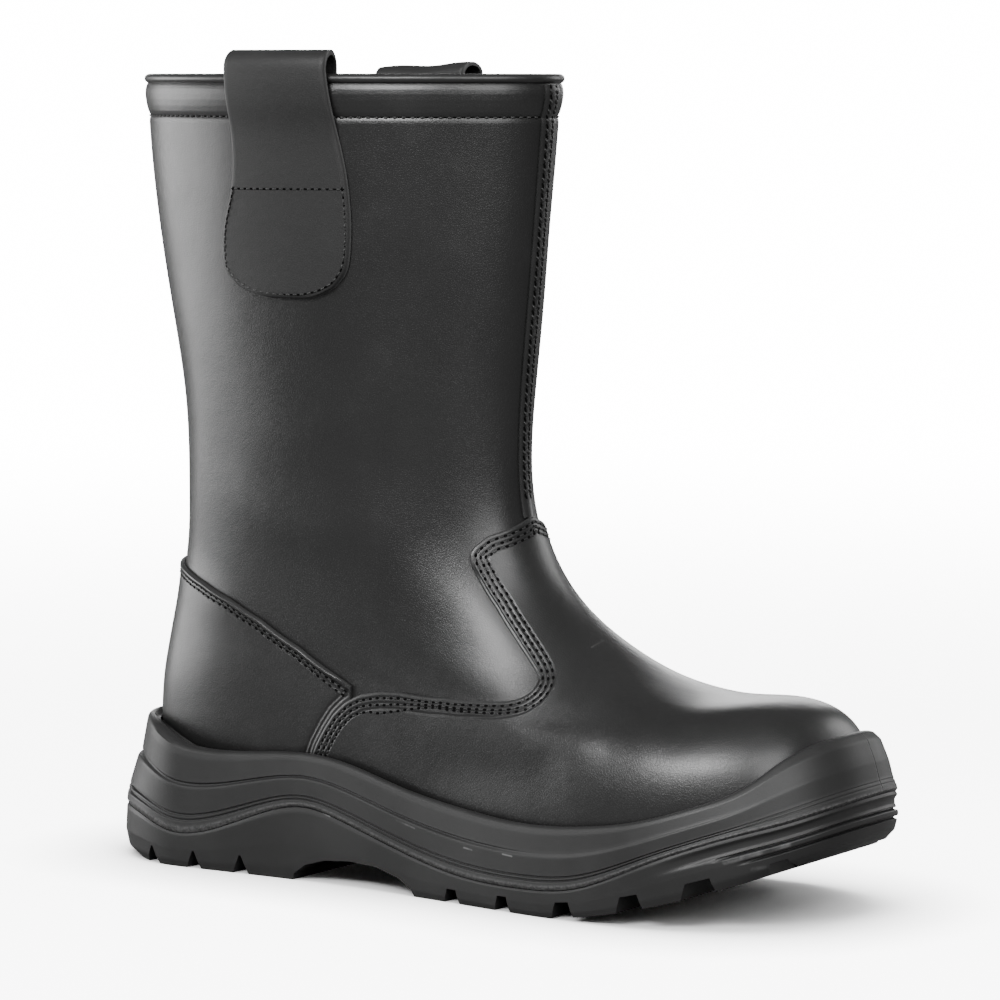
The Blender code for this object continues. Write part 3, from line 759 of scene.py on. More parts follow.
def relief(row, column):
    """Soft troughs and ridges of the worn-in leather, in millimetres out."""
    row, column = np.broadcast_arrays(np.asarray(row, float), column)
    out = np.zeros(row.shape)
    around = column % COLUMNS
    for strength, half, where, line in CREASE_LINES:
        low, high = where.min(0) - (4.0, 1.6), where.max(0) + (4.0, 1.6)
        near = (row > low[0]) & (row < high[0]) & (around > low[1]) & (around < high[1])
        if not near.any():
            continue
        spots = surface(row[near], around[near])
        apart = np.linalg.norm(spots[:, None] - line[None], axis=2)
        first = apart.argmin(1)
        off = apart.min(1) / half
        shape = np.exp(-off**2) - 0.35 * np.exp(-((off - 1.8) / 0.8)**2)
        out[near] -= strength[first] * shape * ease(CREASE_REACH, CREASE_REACH - 0.5, off)
    foot_part = (row < 8) & (np.abs(around - FRONT) < 4)
    if foot_part.any():
        spots = surface(row[foot_part], around[foot_part])
        high = ease(54, 78, spots[:, 2])
        out[foot_part] -= PINCH_DEEP * high * np.exp(-((spots[:, 0] - PINCH_X) / PINCH_HALF)**2)
    waves = np.sin(row * 1.9 + 1.3 * np.sin(around * 0.9)) * np.sin(around * 1.3 + 0.5 * row)
    return out + WAVES * waves * ease(5.5, 8.0, row) * ease(15.2, 13.5, row)


CREASE_LINES = crease_lines()

# The padded band under the collar: where it begins, and how far it stands out by row.
BAND_FROM = 15.37
GROOVE_ROW = 15.465
BAND_OUT = straight((
    (15.38, 0.0), (15.43, -0.2), (GROOVE_ROW, -0.65), (15.49, -0.35), (15.54, 0.15), (15.63, 0.6),
    (15.73, 0.9), (15.82, 0.95), (15.89, 0.75), (15.95, 0.3), (15.98, -0.1), (16.0, -0.4),
))


def lift(row, column):
    """Relief of the leather with the padded band under the collar."""
    return relief(row, column) + np.where(np.asarray(row) > BAND_FROM, BAND_OUT(row), 0)


# How many rows and columns of points the upper has outside, in its band and inside.
UPPER_ROWS = 200
BAND_ROWS = 42
INSIDE_ROWS = 60
UPPER_COLUMNS = 300
LINING_COLUMNS = 120
# Faces of the wall, in from the outer one: the back of the leather and the lining.
LEATHER_BACK = -1.0
LINING_FACE = -1.15


def make_upper():
    """The leather of the leg and foot, a closed skin with the band under its collar."""
    rows = np.concatenate([np.linspace(0, 15.36, UPPER_ROWS),
                           np.linspace(15.38, TOP_ROW, BAND_ROWS)])
    columns = np.arange(UPPER_COLUMNS) * COLUMNS / UPPER_COLUMNS
    row, column = np.meshgrid(rows, columns, indexing="ij")
    skin_points = surface(row, column, lift(row, column))
    row, column = np.meshgrid(np.linspace(TOP_ROW, 0, INSIDE_ROWS), columns, indexing="ij")
    inside = surface(row, column, relief(row, column) + LEATHER_BACK)
    points = np.concatenate([skin_points.reshape(-1, 3), inside.reshape(-1, 3)])
    faces = ring_faces(len(rows) + INSIDE_ROWS, UPPER_COLUMNS, close=True)
    add_piece("upper_leather", points, faces, "upper", slot="upper", look=LOOKS["leather"])


def make_lining():
    """The textile inside the leather."""
    rows = np.linspace(0.02, 15.98, INSIDE_ROWS)
    columns = np.arange(LINING_COLUMNS) * COLUMNS / LINING_COLUMNS
    row, column = np.meshgrid(rows, columns, indexing="ij")
    near = surface(row, column, LINING_FACE)
    far = surface(row[::-1], column[::-1], -WALL)
    points = np.concatenate([near.reshape(-1, 3), far.reshape(-1, 3)])
    faces = ring_faces(2 * INSIDE_ROWS, LINING_COLUMNS, close=True)
    add_piece("lining", points, faces, slot="insole", look=LOOKS["textile"])


def panel_outline(points, middle, middle_z, reach):
    """A panel's edge in rows and columns, from the sole over the centre line and back."""
    line = locate(*np.array(points, float).T)
    start = [HIDDEN_ROW, line[0, 1]]
    half = np.vstack([[start], line, [[row_at(middle_z, middle), middle]]])
    half = soften(resample(half, 0.5), reach)
    half[-1, 1] = middle
    other = half[::-1].copy()
    other[:, 1] = 2 * middle - other[:, 1]
    return np.vstack([half, other[1:]])


# How far the faces of the two panels stand out.
VAMP_OUT = 1.9
COUNTER_OUT = 1.75
# Distance in from a panel's edge, height there, and height where the edge is of the other kind:
# a second layer showing along the slanted edge of the vamp, or the counter under the vamp.
CUT_EDGE = (
    (2.2, 1.9, 1.9), (1.5, 1.9, 1.88), (1.2, 1.89, 1.8), (1.05, 1.88, 1.3), (0.9, 1.86, 1.12),
    (0.45, 1.8, 1.1), (0.15, 1.6, 1.0), (0.0, 1.2, 0.7), (0.02, 0.3, 0.3),
)
ROLLED_EDGE = (
    (2.2, 1.75, 1.3), (1.8, 1.85, 1.3), (1.35, 2.1, 1.3), (0.95, 2.15, 1.3), (0.55, 2.0, 1.3),
    (0.25, 1.6, 1.25), (0.05, 1.05, 1.0), (0.0, 0.6, 0.6), (0.02, 0.3, 0.3),
)


def panel(name, outline, row_count, column_count, edge_rows, *nodes, slot, look, base_out,
          other_edge):
    """A sewn-on leather panel: a fine grid inside its outline, with strips along the edge.

    Where other_edge says 1 the edge follows its second kind."""
    closed = resample(outline, 0.35, closed=True)
    loop = surface(closed[:, 0], closed[:, 1])
    low, high = closed.min(0), closed.max(0)
    rows = np.linspace(low[0], high[0], row_count)
    columns = np.linspace(low[1], high[1], column_count)
    row, column = np.meshgrid(rows, columns, indexing="ij")
    flat = np.stack([row.ravel(), column.ravel()], -1)
    spots = surface(flat[:, 0], flat[:, 1])
    far, near = nearest(loop, spots)
    kept = (inside_loop(flat, closed) & (far > STRIP)).reshape(row.shape)
    quads = kept[:-1, :-1] & kept[1:, :-1] & kept[:-1, 1:] & kept[1:, 1:]
    for _ in range(4):
        a, b = quads[:-1, :-1], quads[1:, 1:]
        c, d = quads[1:, :-1], quads[:-1, 1:]
        pinched = (a & b & ~c & ~d) | (c & d & ~a & ~b)
        if not pinched.any():
            break
        quads[:-1, :-1][pinched] = False
        quads[1:, :-1][pinched] = False
    i, j = np.nonzero(quads)
    corner = i * column_count + j
    faces = np.stack([corner, corner + 1, corner + column_count + 1, corner + column_count], -1)
    step = {}
    for face in faces:
        for k in range(4):
            step[(int(face[k]), int(face[(k + 1) % 4]))] = True
    rim = {a: b for a, b in step if (b, a) not in step}
    loops = []
    left = set(rim)
    while left:
        first = min(left)
        one = [first]
        left.discard(first)
        while rim[one[-1]] != first and rim[one[-1]] in left:
            one.append(rim[one[-1]])
            left.discard(one[-1])
        loops.append(one)
    loops.sort(key=len)
    used = np.unique(faces)
    turn = {int(k): n for n, k in enumerate(used)}
    place = flat[used].copy()
    edge = far[used].copy()
    order = np.array(loops[-1])
    spot_rc = flat[order]
    foot_rc = closed[near[order]]
    reach = far[order][:, None]

    def strip(distance):
        return foot_rc + (spot_rc - foot_rc) * distance / reach

    index = np.array([turn[int(k)] for k in order])
    place[index] = strip(STRIP)
    edge[index] = STRIP
    raised = relief(place[:, 0], place[:, 1])
    other = other_edge(loop[near[order]])
    points = [surface(place[:, 0], place[:, 1], raised + base_out)]
    values = [edge]
    made = [[turn[int(k)] for k in face] for face in faces]
    total = len(place)
    previous = index
    for distance, first_out, other_out in edge_rows:
        at = strip(distance)
        out = first_out + (other_out - first_out) * other
        bump_out = relief(at[:, 0], at[:, 1])
        if distance == STRIP:
            points[0][index] = surface(at[:, 0], at[:, 1], bump_out + out)
            continue
        points.append(surface(at[:, 0], at[:, 1], bump_out + out))
        values.append(np.full(len(at), distance))
        now = total + np.arange(len(at))
        total += len(at)
        after = np.roll(np.arange(len(at)), -1)
        made += [(previous[after[k]], previous[k], now[k], now[after[k]]) for k in range(len(at))]
        previous = now
    under = surface(place[:, 0], place[:, 1], raised + GAP)
    points.append(under)
    values.append(edge)
    made += [[total + turn[int(k)] for k in face[::-1]] for face in faces]
    ring = total + index
    after = np.roll(np.arange(len(ring)), -1)
    made += [(previous[after[k]], previous[k], ring[k], ring[after[k]]) for k in range(len(ring))]
    add_piece(name, np.concatenate(points), made, *nodes, slot=slot, look=look,
              values={"edge": np.concatenate(values)})


def thread_axes(ahead, normal, lean):
    """Directions along and across stitches that lean off their line by some degrees."""
    ahead = unit(ahead)
    aside = np.cross(normal, ahead)
    c, s = np.cos(np.radians(lean)), np.sin(np.radians(lean))
    return ahead * c + aside * s, aside * c - ahead * s


# A thread: places along it, their thickness, and the ends' depth in the leather.
THREAD_ALONG = np.array([-1.0, -0.8, -0.35, 0.35, 0.8, 1.0])
THREAD_SHAPE = np.array([0.35, 0.8, 1.0, 1.0, 0.8, 0.35])
THREAD_DIP = 0.45
THREAD_SIDES = 6
HOLE_SIDES = 8
HOLE_CROWN = 0.12
HOLE_DEPTH = 0.3


def stitches(name, lines, pitch, length, thick, proud, lean, slot):
    """Rows of sewn stitches, each a small thread whose ends dip into the leather.

    Each line is a list of rows and columns with the height of the leather there."""
    blocks = []
    size = thick * THREAD_SHAPE
    rise = proud - (proud + THREAD_DIP) * np.abs(THREAD_ALONG)**3
    turn_by = np.arange(THREAD_SIDES) * 2 * np.pi / THREAD_SIDES
    for line, out in lines:
        even = resample(line, pitch)
        middle = (even[1:] + even[:-1]) / 2
        point, _, _, normal = skin(middle[:, 0], middle[:, 1])
        ends = surface(even[:, 0], even[:, 1])
        ahead, aside = thread_axes(ends[1:] - ends[:-1], normal, lean)
        base = point + normal * (lift(middle[:, 0], middle[:, 1]) + out)[:, None]
        run = (THREAD_ALONG * length / 2)[None, :, None, None]
        height = (rise[:, None] + size[:, None] * np.sin(turn_by))[None, :, :, None]
        width = (size[:, None] * np.cos(turn_by))[None, :, :, None]
        block = (base[:, None, None] + ahead[:, None, None] * run
                 + normal[:, None, None] * height + aside[:, None, None] * width)
        blocks.append(block.reshape(-1, 36, 3))
    every = np.concatenate(blocks)
    one = ring_faces(6, THREAD_SIDES, flip=True) + [tuple(range(6)), tuple(range(35, 29, -1))]
    faces = [[k * 36 + c for c in face] for k in range(len(every)) for face in one]
    add_piece(name, every, faces, slot=slot, look=LOOKS["thread"], sharp=80)


def needle_hole_shades(name, lines, pitch, length, wide, lean, slot):
    """Painted shade of the punched holes at the ends of the stitches, each a shallow closed
    near-black lens.
    """
    blocks = []
    turn_by = np.arange(HOLE_SIDES) * 2 * np.pi / HOLE_SIDES
    for line, out in lines:
        even = resample(line, pitch)
        point, _, _, normal = skin(even[:, 0], even[:, 1])
        ahead, aside = thread_axes(np.gradient(point, axis=0), normal, lean)
        base = point + normal * (lift(even[:, 0], even[:, 1]) + out)[:, None]
        rim = (base[:, None] + ahead[:, None] * (length * np.cos(turn_by))[None, :, None]
               + aside[:, None] * (wide * np.sin(turn_by))[None, :, None])
        caps = np.stack([base + normal * HOLE_CROWN, base - normal * HOLE_DEPTH], 1)
        blocks.append(np.concatenate([rim, caps], 1))
    every = np.concatenate(blocks)
    one = [(k, (k + 1) % 8, 8) for k in range(8)] + [((k + 1) % 8, k, 9) for k in range(8)]
    faces = [[k * 10 + c for c in face] for k in range(len(every)) for face in one]
    add_piece(name, every, faces, slot=slot, look=LOOKS["hole_shade"], sharp=80)


def sewn(name, lines, slot, pitch, hole_shade, length, thick, proud, lean=0.0):
    """A row of threads with the painted shade of a needle hole at the end of each."""
    stitches(name + "_thread", lines, pitch, length, thick, proud, lean, slot)
    needle_hole_shades(name + "_hole_shades", lines, pitch, *hole_shade, lean, slot)


def loop_limits(z):
    """Back and front edge of a pull loop at some heights."""
    return [np.where(z < LOOP_ROUND, straight(LOOP, k)(z), smooth(LOOP, k)(z)) for k in (1, 2)]


def strap_rows(side):
    """The stitch lines of a pull strap: round its sewn end and across above it."""
    heights = np.concatenate([np.linspace(STRAP_CROSS, LOOP_ROUND, 12), np.array(LOOP)[3::-1, 0]])
    back, front = loop_limits(heights)
    loop = np.concatenate([np.stack([back, heights], 1), np.stack([front, heights], 1)[::-1]])
    ahead = unit(np.gradient(loop, axis=0))
    inner = loop + np.stack([-ahead[:, 1], ahead[:, 0]], 1) * STRAP_INSET
    rows = [locate(*inner.T), locate(*np.array([inner[0], inner[-1]]).T)]
    for row in rows:
        if side < 0:
            row[:, 1] = COLUMNS - row[:, 1]
    return [(rows[0], STRAP_TOP), (rows[1], STRAP_TOP)]


def sole_plan(stations):
    """Widest outline of the sole in plan, with its outward directions."""
    half = stations // 2
    along = (1 - np.cos(np.pi * np.arange(half + 1) / half)) / 2
    x = SOLE_BACK + (SOLE_TIP - SOLE_BACK) * along
    heel = np.clip((SOLE_HEEL_FROM - x) / (SOLE_HEEL_FROM - SOLE_BACK), 0, 1)
    toe = np.clip((x - SOLE_TOE_FROM) / (SOLE_TIP - SOLE_TOE_FROM), 0, 1)
    ends = (1 - heel**2.1)**(1 / 2.1) * (1 - toe**2.5)**(1 / 2.5)
    axis = foot["axis"](x)
    outer = np.stack([x, axis - sole["outer"](x) * ends], 1)
    inner = np.stack([x, axis + sole["inner"](x) * ends], 1)
    loop = np.concatenate([outer, inner[-2:0:-1]])
    closed = np.vstack([loop, loop[:1]])
    run = np.concatenate([[0], np.cumsum(np.linalg.norm(np.diff(closed, axis=0), axis=1))])
    share = np.linspace(0, run[-1], stations, endpoint=False)
    even = np.stack([np.interp(share, run, closed[:, k]) for k in (0, 1)], -1)
    ahead = np.roll(even, -1, 0) - np.roll(even, 1, 0)
    away = unit(np.stack([ahead[:, 1], -ahead[:, 0]], 1))
    for _ in range(3):
        away = (np.roll(away, 1, 0) + 2 * away + np.roll(away, -1, 0)) / 4
    return even, unit(away)


SOLE_STATIONS = 420
PLAN, AWAY = sole_plan(SOLE_STATIONS)
PLAN_X = PLAN[:, 0]
BACK_SHARE = ease(0, 0.8, -AWAY[:, 0]) * ease(SOLE_HEEL_FROM + 4, SOLE_HEEL_FROM - 4, PLAN_X)
TOE_SHARE = ease(0.2, 1, AWAY[:, 0]) * ease(SOLE_TOE_FROM - 4, SOLE_TOE_FROM + 4, PLAN_X)


def sole_bottom(x):
    """Underside of the sole: flat, then rising into the toe spring."""
    u = np.clip((np.asarray(x, float) - SPRING_FROM) / (SOLE_TIP - SPRING_FROM), 0, 1)
    return SPRING * u**1.55


def sole_ring(out, z):
    """The sole's outline moved out, at one height or at one for each station."""
    flat = PLAN + AWAY * np.broadcast_to(out, (SOLE_STATIONS,))[:, None]
    return np.column_stack([flat, np.broadcast_to(z, (SOLE_STATIONS,))])


def wall_out(table, grooves, level):
    """How far a sole wall stands out at one level, station by station."""
    fine = np.linspace(0, 1, 401)
    outs = []
    for k in (1, 2, 3):
        curve = straight(table, k)(fine)
        kernel = np.hanning(15)
        kernel /= kernel.sum()
        curve = np.convolve(np.pad(curve, 7, "edge"), kernel, "valid")
        for at, wide, *deep in grooves:
            curve = curve - deep[k - 1] * np.exp(-((fine - at) / wide)**4)
        outs.append(np.interp(level, fine, curve))
    at_back, at_side, at_toe = outs
    return at_back * BACK_SHARE + at_toe * TOE_SHARE + at_side * (1 - BACK_SHARE - TOE_SHARE)


def part_grooves(grooves, level):
    """How deep the grooves along part of the wall are at one level, station by station."""
    deep = np.zeros(SOLE_STATIONS)
    for at, wide, depth, start, end in grooves:
        deep += depth * np.exp(-((level - at) / wide)**4) * ease(start, end, PLAN_X)
    return deep


def grooved_levels(grooves, count):
    """Levels of a wall, closer together across its grooves."""
    steps = np.array([-1.8, -1.25, -1, -0.75, -0.4, 0, 0.4, 0.75, 1, 1.25, 1.8])
    levels = set(np.round(np.linspace(0, 1, count), 4))
    for at, wide, *_ in grooves:
        levels |= set(np.round(at + wide * steps, 4))
    return sorted(v for v in levels if 0 <= v <= 1)


def rim_rows():
    """Row of the upper at the height of the cup's rim, station by station."""
    rows = np.linspace(0, 5, 251)
    rim = sole["rim"](PLAN_X)
    around = np.linspace(0, COLUMNS, 241)
    wall = surface(rows[:, None], np.broadcast_to(around, (251, 241)), CUP_CLEAR)
    found = []
    for k in range(SOLE_STATIONS):
        gaps = np.hypot(wall[..., 0] - PLAN[k, 0], wall[..., 1] - PLAN[k, 1])
        gaps = gaps + 3 * np.abs(wall[..., 2] - rim[k])
        i, j = np.unravel_index(np.argmin(gaps), gaps.shape)
        found.append((rows[i], around[j]))
    found = np.array(found)
    angle = found[:, 1] * np.pi / FRONT
    for _ in range(6):
        c, s = np.cos(angle), np.sin(angle)
        c = (np.roll(c, 1) + 2 * c + np.roll(c, -1)) / 4
        s = (np.roll(s, 1) + 2 * s + np.roll(s, -1)) / 4
        angle = np.arctan2(s, c)
    column = (angle * FRONT / np.pi) % COLUMNS
    heights = surface(np.broadcast_to(rows[:, None], (251, SOLE_STATIONS)),
                      np.broadcast_to(column, (251, SOLE_STATIONS)), CUP_CLEAR)[..., 2]
    row = np.array([np.interp(rim[k], heights[:, k], rows) for k in range(SOLE_STATIONS)])
    return row, column


# The cup's lip: share of the way in to the wall, and height as a share of the lip's rise, or below
# its edge in millimetres where that is negative.
LIP = (
    (0.10, 0.55), (0.22, 0.85), (0.36, 1.0), (0.50, 0.95), (0.60, 0.6), (0.68, 0.0),
    (0.76, -0.9), (0.88, -1.4), (1.0, -1.6),
)
LIP_FROM = 0.965


def make_midsole():
    """The moulded cup: its wall, its lip and the hollow for the upper."""
    part = sole["part"](PLAN_X) + GAP
    rim = sole["rim"](PLAN_X)
    levels = grooved_levels(MIDSOLE_GROOVES + HEEL_GROOVES, 48)
    levels = [v for v in levels if v <= LIP_FROM]
    rings = [sole_ring(-CORE_INSET - GAP, sole["core"](PLAN_X) + GAP)]
    for level in levels:
        out = wall_out(MIDSOLE_WALL, MIDSOLE_GROOVES, level) - part_grooves(HEEL_GROOVES, level)
        rings.append(sole_ring(out, part + (rim - part) * level))
    lip = rings[-1]
    row, column = rim_rows()
    wall = surface(row, column, CUP_CLEAR)
    wall[:, 2] = rim
    inward = wall[:, :2] - lip[:, :2]
    span = np.linalg.norm(inward, axis=1)
    inward /= span[:, None]
    drop = rim - lip[:, 2]
    land = np.clip(span, 1.2, None)
    for share_in, height in LIP:
        ring = lip.copy()
        ring[:, :2] += inward * (np.minimum(share_in * land, span))[:, None]
        ring[:, 2] = np.where(height > 0, lip[:, 2] + drop * height, lip[:, 2] + height)
        rings.append(ring)
    for share in np.linspace(0.9, 0, 6):
        rings.append(surface(row * share, column, CUP_CLEAR))
    count = len(rings)
    points = np.concatenate(rings)
    faces = ring_faces(count, SOLE_STATIONS)
    faces += cap_faces(0, SOLE_STATIONS, flip=True)
    faces += cap_faces((count - 1) * SOLE_STATIONS, SOLE_STATIONS)
    at_level = np.ones((count, SOLE_STATIONS))
    at_level[1:1 + len(levels)] = np.array(levels)[:, None]
    add_piece("midsole_cup", points, faces, "midsole", slot="midsole", look=LOOKS["midsole"],
              values={"level": at_level})


def make_outsole():
    """The tread: its wall, with the arch and the notches between the lugs cut out."""
    part = sole["part"](PLAN_X)
    bottom = sole_bottom(PLAN_X)
    rings = [sole_ring(-CORE_INSET, sole["core"](PLAN_X))]
    for level in grooved_levels(TOE_GROOVES, 24):
        out = wall_out(OUTSOLE_WALL, (), level) - part_grooves(TOE_GROOVES, level)
        rings.append(sole_ring(out, part + (bottom - part) * level))
    points = np.concatenate(rings)
    faces = ring_faces(len(rings), SOLE_STATIONS, flip=True)
    faces += cap_faces(0, SOLE_STATIONS)
    faces += cap_faces((len(rings) - 1) * SOLE_STATIONS, SOLE_STATIONS, flip=True)
    body = add_piece("outsole_tread", points, faces, "outsole", slot="outsole",
                     look=LOOKS["rubber"])
    cuts = [(ARCH, -80, 80)]
    for table, spans in ((NOTCHES, ((-80, -NOTCH_FROM), (NOTCH_FROM, 80))),
                         (CENTRE_NOTCHES, ((-CENTRE_HALF, CENTRE_HALF),))):
        for middle, wide, head, deep in table:
            xs = np.array((-wide, -wide, -head, head, wide, wide)) / 2 + middle
            outline = list(zip(xs, sole_bottom(xs) + np.array((-6, 0, deep, deep, 0, -6))))
            cuts += [(outline, start, end) for start, end in spans]
    points = []
    faces = []
    for outline, start, end in cuts:
        first = len(points)
        count = len(outline)
        points += [(x, y, z) for y in (start, end) for x, z in outline]
        faces.append([first + k for k in range(count)])
        faces.append([first + k for k in range(2 * count - 1, count - 1, -1)])
        for k in range(count):
            n = (k + 1) % count
            faces.append([first + k, first + n, first + n + count, first + k + count])
    mesh = bpy.data.meshes.new("cutter")
    mesh.from_pydata(((np.array(points, float) + SHIFT) * MM).tolist(), [], faces)
    cutter = bpy.data.objects.new("cutter", mesh)
    bpy.context.scene.collection.objects.link(cutter)
    turn_out(body.data)
    turn_out(mesh)
    step = body.modifiers.new("cut", "BOOLEAN")
    step.operation = "DIFFERENCE"
    step.solver = "EXACT"
    step.object = cutter
    bpy.context.view_layer.update()
    shown = body.evaluated_get(bpy.context.evaluated_depsgraph_get())
    result = bpy.data.meshes.new_from_object(shown)
    body.modifiers.clear()
    old = body.data
    body.data = result
    result.name = "outsole_tread"
    bpy.data.meshes.remove(old)
    bpy.data.objects.remove(cutter)
    result.shade_smooth()
    result.set_sharp_from_angle(angle=np.radians(32))


# The pull loops: height, back edge and front edge.
LOOP = (
    (211.8, -64.5, -51.5),
    (213.2, -73.0, -44.5),
    (216.0, -80.0, -38.5),
    (220.0, -84.6, -34.8),
    (227.0, -86.4, -32.4),
    (238.0, -85.2, -31.4),
    (249.0, -81.4, -31.6),
    (259.0, -79.6, -32.6),
    (271.0, -79.4, -34.8),
    (292.0, -79.8, -37.4),
)
LOOP_THICK = 1.9
# Below this height the loop's edges are round, above it nearly straight.
LOOP_ROUND = 222
STRAP_WIDE = 45.0
# The inner loop has sunk: above this height, to these shares of its rise at back and front.
SLACK_FROM = 285.0
SLACK = (0.60, 0.72)
# Stitches of a loop: the row across it, the rows' distance from its edge, the strap's top.
STRAP_CROSS = 251.5
STRAP_INSET = 1.7
STRAP_TOP = 2.27
# How far a loop's inner face stands off the wall by height, outside and inside the leg.
LOOP_OUTSIDE = (
    (211.8, 0.35), (213.2, 0.35), (216, 0.35), (220, 0.35), (227, 0.35), (238, 0.35),
    (249, 0.35), (259, 0.35), (268, 0.5), (275, 1.2), (280, 2.1), (285, 2.6), (294.2, 2.9),
)
LOOP_INSIDE = ((294.2, 3.8), (286, 3.2), (278, 1.4), (270, 0.45), (258, 0.35), (248, 0.35))


def leg_points(heights, shares, left, right, stand_off, side):
    """Points beside the leg at given heights, spread between two lengthwise limits."""
    rows = np.linspace(12.5, 16, 141)
    around = np.linspace(3.5, 8.5, 61)
    grid = surface(rows[:, None], np.broadcast_to(around, (141, 61)))
    points = []
    for z, a, b, off in zip(heights, left, right, stand_off):
        line = np.array([[np.interp(min(z, 289), grid[:, k, 2], grid[:, k, n]) for n in (0, 1)]
                         for k in range(len(around))])
        x = a + (b - a) * shares
        column = np.interp(x, line[:, 0], around)
        row = np.interp(min(z, 289), grid[:, 30, 2], rows)
        spot = surface(np.full(len(x), row), column)
        out = surface(np.full(len(x), row), column, 1.0) - spot
        out[:, 2] = 0
        spot = spot + unit(out) * np.broadcast_to(off, len(x))[:, None]
        spot[:, 2] = z
        spot[:, 1] *= side
        points.append(spot)
    return np.array(points)


def make_loop(name, side, node):
    """Pull loop: up the outside of the leg, over the bead and down inside."""
    ends = np.array([0, 0.012, 0.03, 0.055, 0.09])
    shares = np.concatenate([ends, np.linspace(0.12, 0.88, 27), 1 - ends[::-1]])
    flat_share = np.clip(np.minimum(shares, 1 - shares) / 0.03, 0, 1)
    rounding = np.sqrt(np.clip(1 - (1 - flat_share)**2, 0, 1))
    outside = np.array(LOOP_OUTSIDE)
    inside = np.array(LOOP_INSIDE)
    centre = (outside[-1, 1] - WALL - inside[0, 1]) / 2
    radius = (outside[-1, 1] + WALL + inside[0, 1]) / 2
    turn = np.radians(np.arange(10, 171, 10))
    out_z = np.concatenate([[211.8, 212.0, 212.4, 213.0], np.linspace(214, 220, 9),
                            np.linspace(222, 293.5, 44)])
    in_z = np.linspace(293.5, 248, 24)
    out_off = smooth(outside)(out_z)
    in_off = smooth(inside[::-1])(in_z)
    layers = []
    for extra in (0.0, LOOP_THICK):
        z = np.concatenate([out_z, 294.2 + (radius + extra) * np.sin(turn), in_z])
        trim = np.outer(np.concatenate([[0.1, 0.5, 0.8, 0.95], np.ones(len(z) - 4)]), rounding)
        bulk = extra * (0.12 + 0.88 * trim)
        outer, over, inner = np.split(bulk, [len(out_z), len(out_z) + len(turn)])
        off = np.concatenate([out_off[:, None] + outer,
                              centre + (radius + over) * np.cos(turn)[:, None],
                              -WALL - in_off[:, None] - inner])
        flat = np.concatenate([out_z, np.full(len(turn) + len(in_z), 292.0)])
        layers.append(leg_points(z, shares, *loop_limits(flat), off, side))
    rows, cols = layers[0].shape[:2]
    points = np.concatenate([layers[0].reshape(-1, 3), layers[1].reshape(-1, 3)])
    if side < 0:
        along = np.clip((points[:, 0] + 80.0) / 43.0, 0, 1)
        keep = SLACK[0] + (SLACK[1] - SLACK[0]) * along + 0.025 * np.sin(along * 9.0)
        points[:, 2] = np.minimum(points[:, 2], SLACK_FROM + (points[:, 2] - SLACK_FROM) * keep)
    faces = grid_faces(rows, cols) + grid_faces(rows, cols, rows * cols, flip=True)
    faces += border_faces(rows, cols)
    from_edge = np.tile(np.minimum(shares, 1 - shares) * STRAP_WIDE, 2 * rows)
    piece = add_piece(name, points, faces, node, slot=node, look=LOOKS["strap"], sharp=50,
                      values={"edge": from_edge})
    turn_out(piece.data)


# The piping: height of its middle over the wall, half its height, how far out, half its width.
BEAD_MIDDLE = 1.2
BEAD_HALF = 1.75
BEAD_OUT = 0.15
BEAD_WIDE = 2.0
BEAD_COLUMNS = 360
BEAD_SIDES = 16


def make_bead():
    """Round piping on the top edge of the wall."""
    columns = np.arange(BEAD_COLUMNS) * COLUMNS / BEAD_COLUMNS
    rows = np.full(BEAD_COLUMNS, float(TOP_ROW))
    rim = surface(rows, columns)
    out = surface(rows, columns, 1.0) - rim
    out[:, 2] = 0
    out = unit(out)
    middle = rim - out * WALL / 2
    rings = []
    for angle in np.arange(BEAD_SIDES) * 2 * np.pi / BEAD_SIDES:
        ring = middle + out * (BEAD_OUT + BEAD_WIDE * np.cos(angle))
        ring[:, 2] += BEAD_MIDDLE + BEAD_HALF * np.sin(angle)
        rings.append(ring)
    add_piece("collar_piping", np.concatenate(rings),
              ring_faces(BEAD_SIDES, BEAD_COLUMNS, close=True),
              "collar_bead", slot="collar_bead", look=LOOKS["leather_fine"])


def make_seam(name, middle, start, end, half, proud, node):
    """A crowned strip of leather up the leg, from one row to another."""
    rows = np.linspace(start, end, 240)
    across = np.linspace(-1, 1, 13)
    row, share = np.meshgrid(rows, across, indexing="ij")
    crown = proud * np.cos(share * np.pi / 2 * 0.92)**0.7
    column = middle + share * half
    base = lift(row, column)
    top = surface(row, column, base + GAP + crown)
    low = surface(row, column, base + 0.05)
    points = np.concatenate([low.reshape(-1, 3), top.reshape(-1, 3)])
    faces = grid_faces(*row.shape, flip=True) + grid_faces(*row.shape, row.size)
    faces += border_faces(*row.shape, flip=True)
    piece = add_piece(name, points, faces, node, slot=node, look=LOOKS["leather_fine"])
    turn_out(piece.data)


BED_STATIONS = 240


def make_footbed():
    """The foot bed, a low cushion on the floor of the upper."""
    around = np.arange(BED_STATIONS) * COLUMNS / BED_STATIONS
    rows = np.zeros(BED_STATIONS)
    edge = surface(rows, around, -WALL - 0.6)
    bed = surface(rows, around)[:, 2]
    rings = [np.column_stack([edge[:, :2], bed + rise]) for rise in (0.0, 3.0)]
    for share in (0.98, 0.9, 0.7, 0.4, 0.0):
        rings.append(np.column_stack([edge[:, 0], edge[:, 1] * share, bed + 3.5]))
    faces = ring_faces(len(rings), BED_STATIONS)
    faces += cap_faces(0, BED_STATIONS, flip=True)
    add_piece("footbed", np.concatenate(rings), faces, "insole", slot="insole",
              look=LOOKS["textile"])


